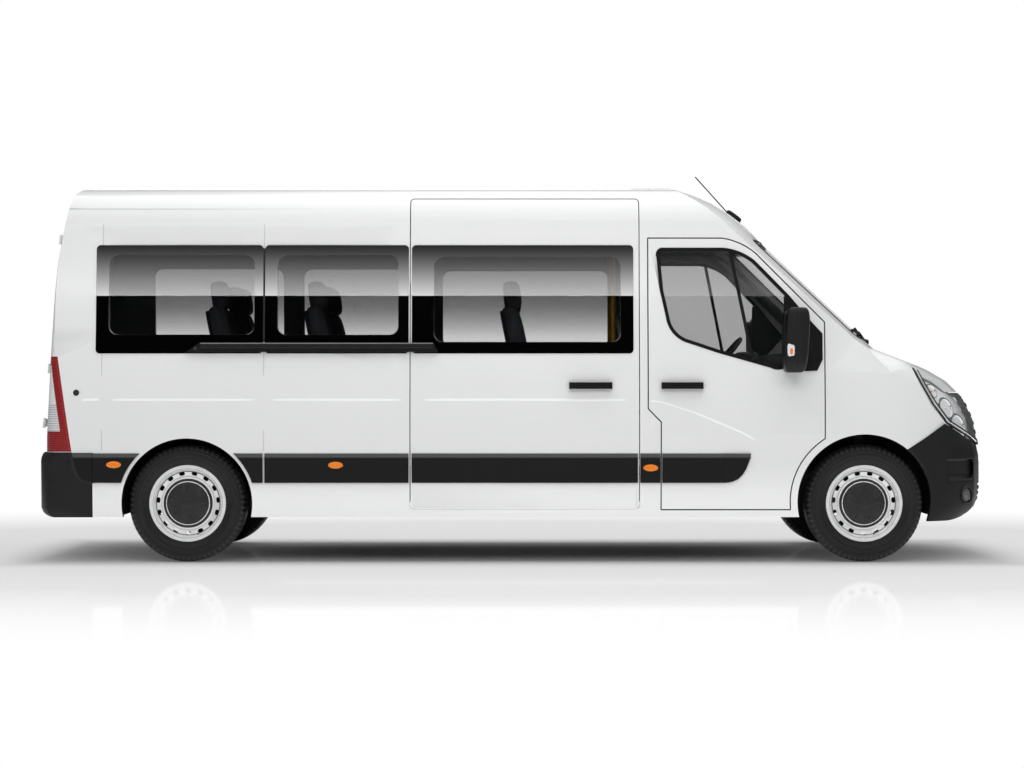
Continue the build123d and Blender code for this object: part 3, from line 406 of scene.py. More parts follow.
@dataclass(frozen=True)
class WheelSilver(WheelFinish):
    """Silver lacquer on pressed steel; what lies deeper than the wheel's face is painted dark as
    shade.

    Each groove has its radius, its half width and the share of painted shade in it.
    """

    face_y: float = 0.903
    dusty: Color = (0.42, 0.41, 0.40)
    line: Color = (0.05, 0.05, 0.052)
    inside: Color = (0.02, 0.02, 0.02)
    grooves: tuple[Point, ...] = ((0.2035, 0.0030, 0.85), (0.2215, 0.0014, 0.7),
                                  (0.1705, 0.0012, 0.5))

    def shade(self) -> Shade:
        """Paints shade on what lies deeper than the wheel's pressed face and in its grooves, and
        dusts the rest.
        """
        made = super().shade()
        face = made.axes()[1].size().above(self.face_y, 0.006)
        dust = made.noise(26.0, 4.0).above(0.62, 0.3) * 0.25
        color = made.mix(dust, self.drift(made), self.dusty)
        away, groove = made.length(*self.from_axle(made)), 0.0
        # Painted shade: dark lines where the grooves would hold shadow.
        for radius, half, share in self.grooves:
            groove = ((away - radius).size().below(half, 0.0012) * share).most(groove)
        color = made.mix(groove, color, self.line)
        # Painted shade: what lies deeper than the face is painted near black.
        made.set(Base_Color=made.mix(face, self.inside, color), Metallic=face * self.metallic)
        return made


@dataclass(frozen=True)
class TyreRubber(WheelFinish):
    """Tyre rubber: shoulder blocks, faint raised rings and serrations on the wall, painted paler,
    partly for wear and partly as painted highlight where light catches them.
    """

    blocks: float = 64.0
    teeth: float = 260.0
    pitch: float = 0.0165
    shoulder: float = 0.344
    fine: tuple[float, float] = (0.296, 0.312)
    wear_and_sheen: Color = (0.042, 0.042, 0.044)

    def shade(self) -> Shade:
        """Patterns by the distance from the axle and the angle round it."""
        made = super().shade()
        dx, dz = self.from_axle(made)
        away, angle = made.length(dx, dz), dz.math("ARCTAN2", dx)
        low, high = self.fine
        blocks = angle.wave(TURN / self.blocks).above(0.1, 0.2) * away.above(self.shoulder, 0.004)
        teeth = angle.wave(TURN / self.teeth).above(0.0, 0.3) * (
            away.above(low, 0.002) * away.below(high, 0.002))
        rings = away.wave(self.pitch).above(0.88, 0.08) * away.below(self.shoulder + MM, 0.004)
        # Partly wear, partly painted highlight: raised blocks, serrations and rings are painted
        # paler.
        wear_and_sheen = (blocks * 0.55).most(teeth * 0.35).most(rings * 0.3)
        made.set(Base_Color=made.mix(wear_and_sheen, self.drift(made), self.wear_and_sheen))
        made.bump(blocks.most(teeth).most(rings), 0.0022)
        return made


@dataclass(frozen=True)
class RibbedLens(Finish):
    """Lamp plastic or glass; rib is the wave of its fine moulded ribs in radians a metre."""

    rib: float = 0.0
    rib_axis: int = 2
    alpha: float = 1.0

    def shade(self) -> Shade:
        """Adds the ribs and, where asked, a see-through share."""
        made = super().shade()
        if self.rib:
            made.bump(made.axes()[self.rib_axis].wave(TURN / self.rib) * 0.5 + 0.5, 0.0012)
        made.set(Alpha=self.alpha, IOR=1.5)
        return made


@dataclass(frozen=True)
class TailLens(Finish):
    """Rear lamp: red along its front edge and foot, white above, ribbed clear between, with the
    ribs' light and shade painted as white and grey stripes.
    """

    foot: tuple[float, float] = (-2.852, 0.708)
    lean: float = 0.15
    red_wide: float = 0.052
    bands: tuple[float, float, float] = (0.838, 1.012, 1.262)
    pitch: float = 0.0145
    white: Color = (0.74, 0.75, 0.76)
    grey: Color = (0.40, 0.41, 0.42)
    rim: Color = (0.50, 0.02, 0.02)

    def shade(self) -> Shade:
        """Masks by height and by the distance behind the leaning front edge."""
        made = super().shade()
        x, _, z = made.axes()
        behind = (z - self.foot[1]) * -self.lean + self.foot[0] - x
        low, middle, top = self.bands
        pale = behind.above(self.red_wide, 0.003) * z.above(low, 0.004) * z.below(top, 0.02)
        # Painted shade: the clear band is striped white and grey along its ribs, lit and shaded
        # copies of one lens.
        ribs = z.wave(self.pitch) * 0.5 + 0.5
        clear = made.mix(pale * z.below(middle, 0.004) * ribs, self.white, self.grey)
        deep = made.mix(made.noise(5.0), self.base, self.other)
        rim = (behind - 0.012).size().below(0.003, 0.003) * 0.6
        made.set(Base_Color=made.mix(pale, made.mix(rim, deep, self.rim), clear))
        made.bump(ribs, 0.0016)
        return made


class Kit(Enum):
    """Every finish of the minibus."""

    PAINT = BodyPaint("white_enamel", (0.79, 0.795, 0.80), (0.82, 0.822, 0.825), (0.22, 0.28),
                      "paint", coat=0.35, patch=1.3, specular=0.35)
    SEAM = Finish("seam_sealer", (0.50, 0.505, 0.51), (0.56, 0.565, 0.57), (0.4, 0.5), "paint",
                  patch=12)
    # Painted highlight: paler enamel on the raised creases, where light from above would catch
    # them.
    CREASE = Finish("crease_painted_highlight", (0.93, 0.935, 0.94), (0.96, 0.962, 0.965), (0.2, 0.25),
                    "paint", coat=0.4, patch=3)
    JOINT = Finish("shut_line_rubber", (0.060, 0.061, 0.063), (0.085, 0.086, 0.088), (0.6, 0.7),
                   "black", patch=20, grain=1500, depth=0.0002)
    BUMPER = Finish("grained_bumper", (0.0085, 0.0088, 0.0092), (0.013, 0.0133, 0.014),
                    (0.34, 0.44), "bumper", patch=5, grain=1400, depth=0.0003, specular=0.26)
    STRIP = SlopedStrip("moulded_strip", (0.0068, 0.007, 0.0074), (0.0095, 0.0098, 0.0102),
                        (0.30, 0.40), "trim", patch=5, grain=1600, depth=0.0002, specular=0.18)
    TRIM = Finish("satin_black_trim", (0.006, 0.006, 0.007), (0.009, 0.009, 0.010), (0.32, 0.42),
                  "black", patch=12, grain=1800, depth=0.0002, specular=0.25)
    RUBBER = Finish("seal_rubber", (0.010, 0.010, 0.010), (0.016, 0.016, 0.016), (0.6, 0.75),
                    "black", patch=20, grain=2200, depth=0.0002)
    BAND = BandGlass("bonded_glass", (0.0012, 0.0012, 0.0014), (0.0016, 0.0016, 0.0018),
                     (0.0, 0.0), "dark_glass", patch=2, specular=1.0,
                     openings=((-2618.0, -1690.0, 1455.0, 1967.0),
                               (-1542.0, -771.0, 1454.0, 1965.0),
                               (-543.0, 648.0, 1408.0, 1953.0)))
    GLASS = RibbedLens("window_glass", (0.012, 0.014, 0.014), (0.015, 0.017, 0.017), (0.0, 0.0),
                       patch=2, alpha=0.24, specular=1.0)
    LENS = RibbedLens("clear_lens", (0.70, 0.72, 0.73), (0.74, 0.76, 0.77), (0.0, 0.02),
                      "clear_lamp", patch=8, alpha=0.10, specular=0.8)
    OPAL = RibbedLens("opal_lens", (0.78, 0.79, 0.80), (0.84, 0.85, 0.86), (0.06, 0.12),
                      "clear_lamp", patch=8, rib=300.0, alpha=0.9)
    RED = RibbedLens("red_lens", (0.42, 0.006, 0.008), (0.50, 0.010, 0.012), (0.08, 0.14),
                     "red_lamp", patch=8, rib=420.0)
    FLUTES = RibbedLens("lamp_flutes", (0.88, 0.89, 0.90), (0.95, 0.955, 0.96), (0.14, 0.22),
                        "clear_lamp", metallic=0.25, patch=8, rib=330.0, rib_axis=0)
    AMBER = RibbedLens("amber_lens", (0.85, 0.20, 0.01), (0.95, 0.26, 0.02), (0.10, 0.18),
                       "amber", patch=14, rib=520.0, rib_axis=0)
    TAIL = TailLens("tail_lens", (0.20, 0.002, 0.004), (0.28, 0.004, 0.006), (0.04, 0.08),
                    "red_lamp", coat=0.2, specular=0.35)
    MIRROR = Finish("mirror_glass", (0.88, 0.89, 0.90), (0.90, 0.91, 0.92), (0.0, 0.01), "glass",
                    metallic=1.0, patch=2)
    POLE = Finish("grab_pole_yellow", (0.72, 0.42, 0.02), (0.78, 0.47, 0.03), (0.25, 0.35),
                  "liner", patch=9, coat=0.4)
    CHROME = Finish("bright_reflector", (0.86, 0.87, 0.88), (0.93, 0.93, 0.94), (0.06, 0.12),
                    "clear_lamp", metallic=1.0, patch=18)
    WINDSCREEN = BorderGlass("windscreen_glass", (0.012, 0.014, 0.014), (0.015, 0.017, 0.017),
                             (0.0, 0.0), "glass", patch=2, specular=0.8)
    REAR_GLASS = RearGlass("rear_glass", (0.006, 0.007, 0.007), (0.009, 0.010, 0.010),
                           (0.0, 0.0), patch=2, specular=0.8)
    CAP = Finish("cap_grey", (0.018, 0.0185, 0.0195), (0.026, 0.0265, 0.028), (0.30, 0.38),
                 "black", patch=16, grain=1600, depth=0.0002, specular=0.35)
    STEEL = WheelSilver("wheel_silver", (0.86, 0.865, 0.87), (0.93, 0.933, 0.936), (0.20, 0.28),
                        "steel", metallic=0.25, patch=14, grain=2400, depth=0.00005)
    IRON = Finish("cast_iron", (0.05, 0.048, 0.045), (0.11, 0.075, 0.055), (0.6, 0.85), "iron",
                  metallic=0.3, patch=24, grain=700, depth=0.0006)
    CHASSIS = Finish("chassis_black", (0.018, 0.018, 0.019), (0.035, 0.032, 0.03), (0.5, 0.75),
                     "chassis", patch=8, grain=500, depth=0.0004)
    TYRE = TyreRubber("tyre_rubber", (0.0055, 0.0055, 0.006), (0.0095, 0.0095, 0.010),
                      (0.40, 0.55), "tyre", patch=14, specular=0.40)
    CLOTH = Finish("seat_cloth", (0.030, 0.032, 0.038), (0.048, 0.050, 0.058), (0.85, 0.95),
                   "seat", patch=60, grain=1100, depth=0.0012)
    DASH = Finish("dashboard_grain", (0.035, 0.036, 0.039), (0.05, 0.051, 0.055), (0.55, 0.68),
                  "dash", patch=10, grain=1000, depth=0.0006)
    FLOOR = Finish("floor_vinyl", (0.10, 0.10, 0.11), (0.15, 0.15, 0.16), (0.5, 0.65), "floor",
                   patch=120, grain=500, depth=0.0008)
    BARE = Finish("blank_plate", (0.78, 0.78, 0.76), (0.84, 0.84, 0.82), (0.3, 0.4), patch=12)
    # Painted highlight: the pale line along the side rail's top edge.
    EDGE = Finish("painted_rail_highlight", (0.16, 0.162, 0.165), (0.22, 0.222, 0.226), (0.4, 0.5), "trim",
                  patch=20)
    SCREEN = Finish("dark_display", (0.004, 0.004, 0.005), (0.008, 0.008, 0.009), (0.06, 0.1),
                    "dash")

    def material(self) -> bpy.types.Material:
        """The finish's material, built once."""
        return bpy.data.materials.get(self.value.name) or self.value.material()


# ------------------------------------------------------------------ shapes
@dataclass
class Form:
    """Points and faces of a shape, in millimetres."""

    points: Array
    faces: list[tuple[int, ...]]

    @staticmethod
    def grid(points: Array, wrap_u: bool = False, wrap_v: bool = False,
             caps: bool = False) -> "Form":
        """Quads over a grid of points.

        Args:
            points: array of rows by columns by 3.
            wrap_u: whether the last row joins the first.
            wrap_v: whether the last column joins the first.
            caps: whether the first and last rows are closed with a face each.

        Returns:
            The shape.
        """
        rows, columns = points.shape[:2]
        u = np.arange(rows if wrap_u else rows - 1)
        v = np.arange(columns if wrap_v else columns - 1)
        i, j = np.meshgrid(u, v, indexing="ij")
        a, b = i * columns + j, i * columns + (j + 1) % columns
        up = (i + 1) % rows
        c, d = up * columns + (j + 1) % columns, up * columns + j
        faces = list(map(tuple, np.stack([a, b, c, d], -1).reshape(-1, 4).tolist()))
        if caps:
            faces.append(tuple(range(columns))[::-1])
            faces.append(tuple(range((rows - 1) * columns, rows * columns)))
        return Form(points.reshape(-1, 3).astype(float), faces)

    def __add__(self, other: "Form") -> "Form":
        """Both shapes as one."""
        shift = len(self.points)
        return Form(np.vstack([self.points, other.points]),
                    self.faces + [tuple(i + shift for i in face) for face in other.faces])

    def moved(self, x: float, y: float, z: float) -> "Form":
        """The shape moved."""
        return Form(self.points + (x, y, z), self.faces)

    def mirrored(self) -> "Form":
        """The shape on the vehicle's other side, with its faces still outwards."""
        return Form(self.points * (1, -1, 1), [face[::-1] for face in self.faces])

    def stood(self) -> "Form":
        """A shape that lies with its top up, stood so that its top looks forward."""
        return Form(self.points[:, ::-1], [face[::-1] for face in self.faces])

    def tilted(self, degrees: float) -> "Form":
        """The shape turned about the Y axis: x' = x cos + z sin, z' = z cos - x sin."""
        angle = math.radians(degrees)
        x, y, z = self.points.T
        return Form(np.stack([z * math.sin(angle) + x * math.cos(angle), y,
                              z * math.cos(angle) - x * math.sin(angle)], -1), self.faces)

    def aimed(self, way: Point, place: Point) -> "Form":
        """A shape built to look along -Y, turned to look another way and moved to a place.

        The matrix's columns are -(way x up), -way and (way x up) x way.
        """
        look = np.asarray(way, float) / np.linalg.norm(way)
        side = np.cross(look, (0.0, 0.0, 1.0))
        side /= np.linalg.norm(side)
        turn = np.stack([-side, -look, np.cross(side, look)], axis=1)
        return Form(self.points @ turn.T + np.asarray(place, float), self.faces)


def joined(forms: Iterable[Form]) -> Form:
    """All shapes as one."""
    first, *others = forms
    for form in others:
        first = first + form
    return first


def circle(steps: int) -> Array:
    """Angles once round, evenly spaced."""
    return np.linspace(0, TURN, steps, endpoint=False)


def ring(radius: float, steps: int, squash: float = 1.0) -> Array:
    """Closed section: points on a circle, pressed flat in its second axis by a share."""
    turn = circle(steps)
    return np.stack([radius * np.cos(turn), radius * squash * np.sin(turn)], -1)


def carried(path: Sequence[Point], section: Array, up: Point = (0, 0, 1),
            closed: bool = False) -> Form:
    """A section carried along a path, square to it: p + s a + n b for each section point (a, b).

    Args:
        path: points of the path.
        section: closed outline of points across the path.
        up: direction that the section's second axis leans to.
        closed: whether the path's end joins its start.

    Returns:
        A closed tube.
    """
    line = np.asarray(path, float)
    if closed:
        run = np.roll(line, -1, 0) - np.roll(line, 1, 0)
    else:
        run = np.gradient(line, axis=0)
    run /= np.linalg.norm(run, axis=1, keepdims=True)
    side = np.cross(run, np.asarray(up, float))
    side /= np.linalg.norm(side, axis=1, keepdims=True)
    rise = np.cross(side, run)
    points = (line[:, None] + side[:, None] * section[None, :, :1]
              + rise[:, None] * section[None, :, 1:])
    return Form.grid(points[:, ::-1], wrap_u=closed, wrap_v=True, caps=not closed)


def framed(outline: Array, x: "float | Array", section: Array) -> Form:
    """A section carried round an outline in y and z that stands at a given x."""
    return carried(np.insert(outline, 0, x, axis=1), section, (1, 0, 0), True)


def oval(centre: Point, half: tuple[float, float], section: Array, steps: int) -> Form:
    """A section carried round an oval that faces Y, with half its length and height."""
    t, (x, y, z) = circle(steps), centre
    path = np.stack([x + half[0] * np.cos(t), np.full_like(t, y), z + half[1] * np.sin(t)], -1)
    return carried(path, section, (0, 1, 0), True)


def turned_solid(profile: Sequence[tuple[float, float]], steps: int = 48,
                 centre: Point = (0, 0, 0)) -> Form:
    """A profile of (radius, outward distance) turned about the Y axis through a centre.

    A right wheel's outside looks along -Y, so a point is centre + (r cos t, -d, r sin t).
    """
    r, d = np.asarray(profile, float).T[..., None]
    t = circle(steps)
    points = np.stack([r * np.cos(t), -d * np.ones_like(t), r * np.sin(t)], -1) + centre
    return Form.grid(points, wrap_u=True, wrap_v=True)


def plate(outline: Sequence[tuple[float, float]], low: float, high: float,
          axis: int = 1) -> Form:
    """A flat outline given a thickness along an axis, both ends closed."""
    flat = np.asarray(outline, float)
    area = np.sum(flat[:, 0] * np.roll(flat[:, 1], -1) - np.roll(flat[:, 0], -1) * flat[:, 1])
    if (area > 0) != (axis == 1):
        flat = flat[::-1]
    ends = np.array([low, high])
    points = np.insert(np.broadcast_to(flat, (2, *flat.shape)), axis,
                       np.broadcast_to(ends[:, None], (2, len(flat))), axis=2)
    return Form.grid(points, wrap_v=True, caps=True)


def block(centre: Point, size: Point, edge: float = 0.25, steps: int = 24) -> Form:
    """A closed block with soft edges: a superellipsoid, each axis half * sign * power(edge)."""
    u = np.linspace(-np.pi / 2, np.pi / 2, steps)[:, None]
    v = circle(2 * steps)[None]

    def power(wave: Array) -> Array:
        """Sine or cosine pulled towards its ends."""
        return np.sign(wave) * np.abs(wave) ** edge

    x, y = power(np.cos(u)) * power(np.cos(v)), power(np.cos(u)) * power(np.sin(v))
    z = power(np.sin(u)) * np.ones_like(v)
    points = np.stack([x, y, z], -1) * np.asarray(size) / 2 + centre
    return Form.grid(points, wrap_v=True, caps=True)


def rounded_outline(x0: float, x1: float, z0: float, z1: float, radius: float,
                    steps: int = 8) -> Array:
    """Rectangle with round corners, counter-clockwise in its own plane."""
    t = np.linspace(0, np.pi / 2, steps)
    corners = ((x1 - radius, z1 - radius, 0), (x0 + radius, z1 - radius, 1),
               (x0 + radius, z0 + radius, 2), (x1 - radius, z0 + radius, 3))
    return np.concatenate([np.stack([cx + radius * np.cos(t + k * np.pi / 2),
                                     cz + radius * np.sin(t + k * np.pi / 2)], -1)
                           for cx, cz, k in corners])


# ------------------------------------------------------------------ the body's surfaces
def skin_y(z: Array | float) -> Array | float:
    """Half width of the body's side at a height, on its flat runs."""
    return np.interp(z, (291, 820, 1220, 2170), (1006, 1035, 1022, 952))


def beside_skin(x: Array, z: Array, out: float) -> Array:
    """Points on the right side at a distance out from its skin."""
    return np.stack([x, -(skin_y(z) + out), z], -1)


def on_skin(outline: Sequence[tuple[float, float]], inner: float, outer: float) -> Form:
    """A flat outline in x and z laid on the right side between two distances out from it."""
    form = plate(outline, -outer, -inner)
    form.points[:, 1] -= skin_y(form.points[:, 2])
    return form


def nose_draw(y: Array) -> Array:
    """How far the bumper's face is drawn in beside the middle: 34 sin(pi |y| / 820)."""
    from_middle = np.sqrt(y ** 2 + 40.0 ** 2) - 40.0
    return 34.0 * np.sin(np.pi * np.clip(from_middle / 820.0, 0, 1))


def grille_x(z: Array, y: "Array | float", out: float) -> Array:
    """Length-wise place of a point before the grille's leaning, bowed face."""
    lean = np.interp(z, (750, 913, 1039, 1159), (3091, 3056, 2998, 2872))
    return lean - y ** 2 / 3600 + out


def screen_x(z: "Array | float", y: "Array | float", out: float) -> Array:
    """Length-wise place of a point in front of the windscreen's cone."""
    radius = 2223.0 + (2091.0 - z) * 1.0507 + out * 1.45
    return -600.0 + np.sqrt(radius ** 2 - y ** 2)


def rear_x(y: "Array | float", z: "Array | float", out: float = 0.0) -> Array:
    """Length-wise place of a point on the bowed rear, at a distance out from it."""
    corner = np.interp(z, (800, 1333, 1709, 1928, 2100, 2248, 2350),
                       (-3023, -2997, -2972, -2950, -2918, -2887, -2858))
    return corner - 37.0 * (1 - (y / 940.0) ** 2) - out


# ------------------------------------------------------------------ the workshop
@dataclass
class Workshop:
    """Makes objects out of shapes and gives CAD nodes their finishes."""

    frame: dict
    count: int = 0

    def placed(self, name: str, mesh: bpy.types.Mesh, body: str) -> bpy.types.Object:
        """Puts a mesh into the scene, riding on a body."""
        made = bpy.data.objects.new(name, mesh)
        bpy.context.scene.collection.objects.link(made)
        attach(made, body)
        self.count += 1
        LOG.info("piece %s: %d points on %s", name, len(mesh.vertices), body)
        return made

    def piece(self, name: str, form: Form, kit: Kit, body: str = "body", slot: str = "",
              bevel: float = 0.0, sharp: float = 40.0, sheet: float = 0.0) -> bpy.types.Object:
        """Turns a shape into an object that rides on a body.

        Args:
            name: the piece's name.
            form: its shape in millimetres.
            kit: its finish.
            body: the CAD body it moves with.
            slot: not used.
            bevel: width of a small bevel in millimetres.
            sharp: angle in degrees past which an edge stays sharp.
            sheet: thickness in millimetres given to an open surface on its back.

        Returns:
            The object.
        """
        mesh = bpy.data.meshes.new(name)
        mesh.from_pydata((form.points * MM).tolist(), [], form.faces)
        mesh.materials.append(kit.material())
        mesh.validate()
        self.soften(mesh, sharp)
        made = self.placed(name, mesh, body)
        if bevel:
            modifier = made.modifiers.new("edge", "BEVEL")
            modifier.width, modifier.segments, modifier.limit_method = bevel * MM, 2, "ANGLE"
            modifier.angle_limit = math.radians(35)
        if sheet:
            modifier = made.modifiers.new("sheet", "SOLIDIFY")
            modifier.thickness, modifier.offset = sheet * MM, -1.0
        slot = slot or kit.value.slot
        return made

    def pair(self, name: str, form: Form, kit: Kit, body: str = "body",
             **how: object) -> list[bpy.types.Object]:
        """A right-hand piece and its mirror image; a body ending in _right has its left twin."""
        return [self.piece(f"{name}_right", form, kit, body, **how),
                self.piece(f"{name}_left", form.mirrored(), kit,
                           body.replace("_right", "_left"), **how)]

    @staticmethod
    def soften(mesh: bpy.types.Mesh, sharp: float) -> None:
        """Smooth shading with edges kept sharp past an angle."""
        mesh.polygons.foreach_set("use_smooth", np.ones(len(mesh.polygons), bool))
        mesh.set_sharp_from_angle(angle=math.radians(sharp))

    def dress(self, node: str, kit: Kit) -> None:
        """Gives a CAD node a finish."""
        target = self.frame["nodes"][node]
        for slot in target.material_slots:
            slot.material = kit.material()
        if not target.material_slots:
            target.data.materials.append(kit.material())

    def landed(self, node: str, points: Sequence[Point], way: Point) -> Array:
        """Sends points along a way until they meet a CAD node; those that miss it are left out.

        Args:
            node: the CAD node.
            points: where they start, in millimetres.
            way: direction of travel.

        Returns:
            Where they landed, one row each.
        """
        mesh = self.frame["nodes"][node].data
        tree = BVHTree.FromPolygons([v.co[:] for v in mesh.vertices],
                                    [p.vertices[:] for p in mesh.polygons])
        hits = (tree.ray_cast([c * MM for c in point], way)[0] for point in points)
        return np.array([tuple(hit) for hit in hits if hit is not None]) / MM

    def shell(self, node: str, name: str, kit: Kit, sharp: float = 30.0,
              keep: Callable[[Array], Array] | None = None, cuts: Sequence[float] = (),
              shape: Callable[[Array], Array] | None = None,
              second: tuple[Kit, Callable[[Array], Array]] | None = None) -> bpy.types.Mesh:
        """A merged copy of a CAD node's mesh with smooth curves.

        Args:
            node: the CAD node.
            name: the copy's name.
            kit: its finish.
            sharp: angle past which an edge stays sharp.
            keep: picks faces by their centres in millimetres; the rest are dropped.
            cuts: heights at which the faces are divided, so that shape can bend them.
            shape: moves the copy's points, in millimetres.
            second: another finish, and what picks its faces by their centres.

        Returns:
            The mesh.
        """
        shell = bmesh.new()
        shell.from_mesh(self.frame["nodes"][node].data)
        bmesh.ops.remove_doubles(shell, verts=shell.verts, dist=WELD)
        for z in cuts:
            bmesh.ops.bisect_plane(shell, geom=[*shell.verts, *shell.edges, *shell.faces],
                                   plane_co=(0, 0, z * MM), plane_no=(0, 0, 1))
        if keep:
            centres = np.array([face.calc_center_median() for face in shell.faces]) / MM
            wanted = keep(centres)
            bmesh.ops.delete(shell, geom=[f for f, w in zip(shell.faces[:], wanted) if not w],
                             context="FACES")
        mesh = bpy.data.meshes.new(name)
        shell.to_mesh(mesh)
        shell.free()
        if shape:
            flat = np.empty(len(mesh.vertices) * 3)
            mesh.vertices.foreach_get("co", flat)
            mesh.vertices.foreach_set("co", (shape(flat.reshape(-1, 3) / MM) * MM).ravel())
        mesh.materials.append(kit.material())
        if second:
            mesh.materials.append(second[0].material())
            centres = np.array([face.center for face in mesh.polygons]) / MM
            mesh.polygons.foreach_set("material_index", second[1](centres).astype(np.int32))
        self.soften(mesh, sharp)
        return mesh

    def refined(self, node: str, kit: Kit, sharp: float = 30.0, slot: str = "",
                **how: object) -> None:
        """Puts a merged copy of a CAD node in its place; see shell for what else it takes."""
        name, slot = node + "_shell", slot or kit.value.slot
        body = self.frame["nodes"][node]["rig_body"]
        made = self.placed(name, self.shell(node, name, kit, sharp, **how), body)
        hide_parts(node)


# ------------------------------------------------------------------ studio
@dataclass
class Studio:
    """Camera, lamps, floor and the cards that the glass mirrors, in metres."""

    camera_at: Point = (-0.045, -16.0, 1.14)
    lens: float = 82.62
    card_y: float = -18.0
    flag_z: tuple[float, float] = (3.5, 4.88)
    card_z: tuple[float, float] = (4.88, 5.7)
    card_x: tuple[float, float, float] = (-9.0, 1.72, 5.2)
    card_light: float = 8.5
    dim_share: float = 0.35
    near_glow: float = 0.5
    shadow_half: tuple[float, float] = (3.15, 1.12)
    dome: tuple[float, float] = (0.03, 1.05)
    lamps: tuple[tuple[str, Point, Point, tuple[float, float]], ...] = (
        ("overhead", (0, 0, 7.5), (0, 0, 0), (11, 7)),
        ("fill_right", (1.0, -12, 7.0), (0, 0, 1.0), (12, 4)),
        ("fill_left", (-1.0, 12, 7.0), (0, 0, 1.0), (12, 4)))
    watts: float = 430.0

    def build(self) -> None:
        """Sets up the whole studio."""
        self.camera()
        self.world()
        self.floor()
        self.cards()
        for lamp in self.lamps:
            self.lamp(*lamp)

    @staticmethod
    def linked(name: str, data: bpy.types.ID) -> bpy.types.Object:
        """A new object in the scene."""
        made = bpy.data.objects.new(name, data)
        bpy.context.scene.collection.objects.link(made)
        return made

    def camera(self) -> None:
        """Level camera looking at the right side along Y."""
        lens = bpy.data.cameras.new("camera")
        lens.lens, lens.sensor_width = self.lens, 36.0
        lens.clip_start, lens.clip_end = 0.1, 300.0
        made = self.linked("camera", lens)
        made.location = self.camera_at
        made.rotation_euler = (math.pi / 2, 0, 0)
        bpy.context.scene.camera = made
        bpy.context.scene.view_settings.view_transform = "Standard"

    def world(self) -> None:
        """White surround for the camera, a soft grey dome for the light."""
        world = bpy.data.worlds.new("surround")
        bpy.context.scene.world = world
        world.use_nodes = True
        tree = world.node_tree
        tree.nodes.clear()
        path, way, height, slope, either, white, dome, mix, output = (
            tree.nodes.new("ShaderNode" + kind) for kind in (
                "LightPath", "TexCoord", "SeparateXYZ", "MapRange", "Math", "Background",
                "Background", "MixShader", "OutputWorld"))
        white.inputs[0].default_value, white.inputs[1].default_value = (1, 1, 1, 1), 1.0
        either.operation = "MAXIMUM"
        for name, value in (("From Min", 0.10), ("From Max", 0.80), ("To Min", self.dome[0]),
                            ("To Max", self.dome[1])):
            slope.inputs[name].default_value = value
        for start, end in ((way.outputs["Generated"], height.inputs[0]),
                           (height.outputs[2], slope.inputs[0]),
                           (slope.outputs[0], dome.inputs[1]),
                           (path.outputs["Is Camera Ray"], either.inputs[0]),
                           (path.outputs["Is Transmission Ray"], either.inputs[1]),
                           (either.outputs[0], mix.inputs[0]),
                           (dome.outputs[0], mix.inputs[1]),
                           (white.outputs[0], mix.inputs[2]),
                           (mix.outputs[0], output.inputs[0])):
            tree.links.new(start, end)

    def plane(self, name: str, corners: Sequence[Point]) -> bpy.types.Object:
        """A flat stage piece through four corners in metres."""
        mesh = bpy.data.meshes.new(name)
        mesh.from_pydata([tuple(c) for c in corners], [], [(0, 1, 2, 3)])
        made = self.linked(name, mesh)
        return made

    def floor(self) -> None:
        """Pale floor that keeps the shadow near the vehicle and fades to white further out."""
        floor = self.plane("studio_floor",
                           ((-60, -60, 0), (60, -60, 0), (60, 60, 0), (-60, 60, 0)))
        shade = Shade("pale_floor")
        shade.set(Base_Color=shade.mix(shade.noise(0.6), (0.95, 0.95, 0.95), (0.97, 0.97, 0.97)),
                  Roughness=0.05, Specular_IOR_Level=0.06)
        x, y, _ = shade.axes()
        beside = (y.size() - self.shadow_half[1]).most(x.size() - self.shadow_half[0])
        share = (beside.above(0.0, 0.7) * self.near_glow).most(
            shade.length(x * 0.6, y).above(3.3, 5.5))
        camera = shade.node("ShaderNodeLightPath", {}, {}, "Is Camera Ray")
        glow = shade.node("ShaderNodeEmission", {}, {"Color": (1.0, 1.0, 1.0)})
        shade.surface(shade.node("ShaderNodeMixShader", {}, [
            share * camera, Socket(shade, shade.shader.outputs[0]), glow]))
        floor.data.materials.append(shade.material)

    def cards(self) -> None:
        """A bright strip over a black flag on each side, seen in gloss alone."""
        back, turn, front = self.card_x
        for side, word in ((1, "right"), (-1, "left")):
            for name, (z0, z1), x0, x1, light in (
                    ("flag", self.flag_z, back, front, 0.0),
                    ("card", self.card_z, back, turn, self.card_light),
                    ("dim_card", self.card_z, turn, front, self.card_light * self.dim_share)):
                y = self.card_y * side
                made = self.plane(f"{name}_{word}",
                                  ((x0, y, z0), (x1, y, z0), (x1, y, z1), (x0, y, z1)))
                self.light_card(made, light, z0, z1)

    @staticmethod
    def light_card(card: bpy.types.Object, light: float, low: float, high: float) -> None:
        """Gives a card its light, brightest at its lower edge."""
        shade = Shade(card.name + "_light")
        strength = 0.0
        if light:
            fall = 1 - shade.node("ShaderNodeMapRange", {}, {
                "Value": shade.axes()[2], "From Min": low, "From Max": high})
            strength = fall * fall * light + 0.10
        shade.surface(shade.node("ShaderNodeEmission", {}, {
            "Color": (1.0, 1.0, 1.0), "Strength": strength}))
        card.data.materials.append(shade.material)
        card.visible_camera = card.visible_diffuse = card.visible_shadow = False
        card.visible_transmission = False

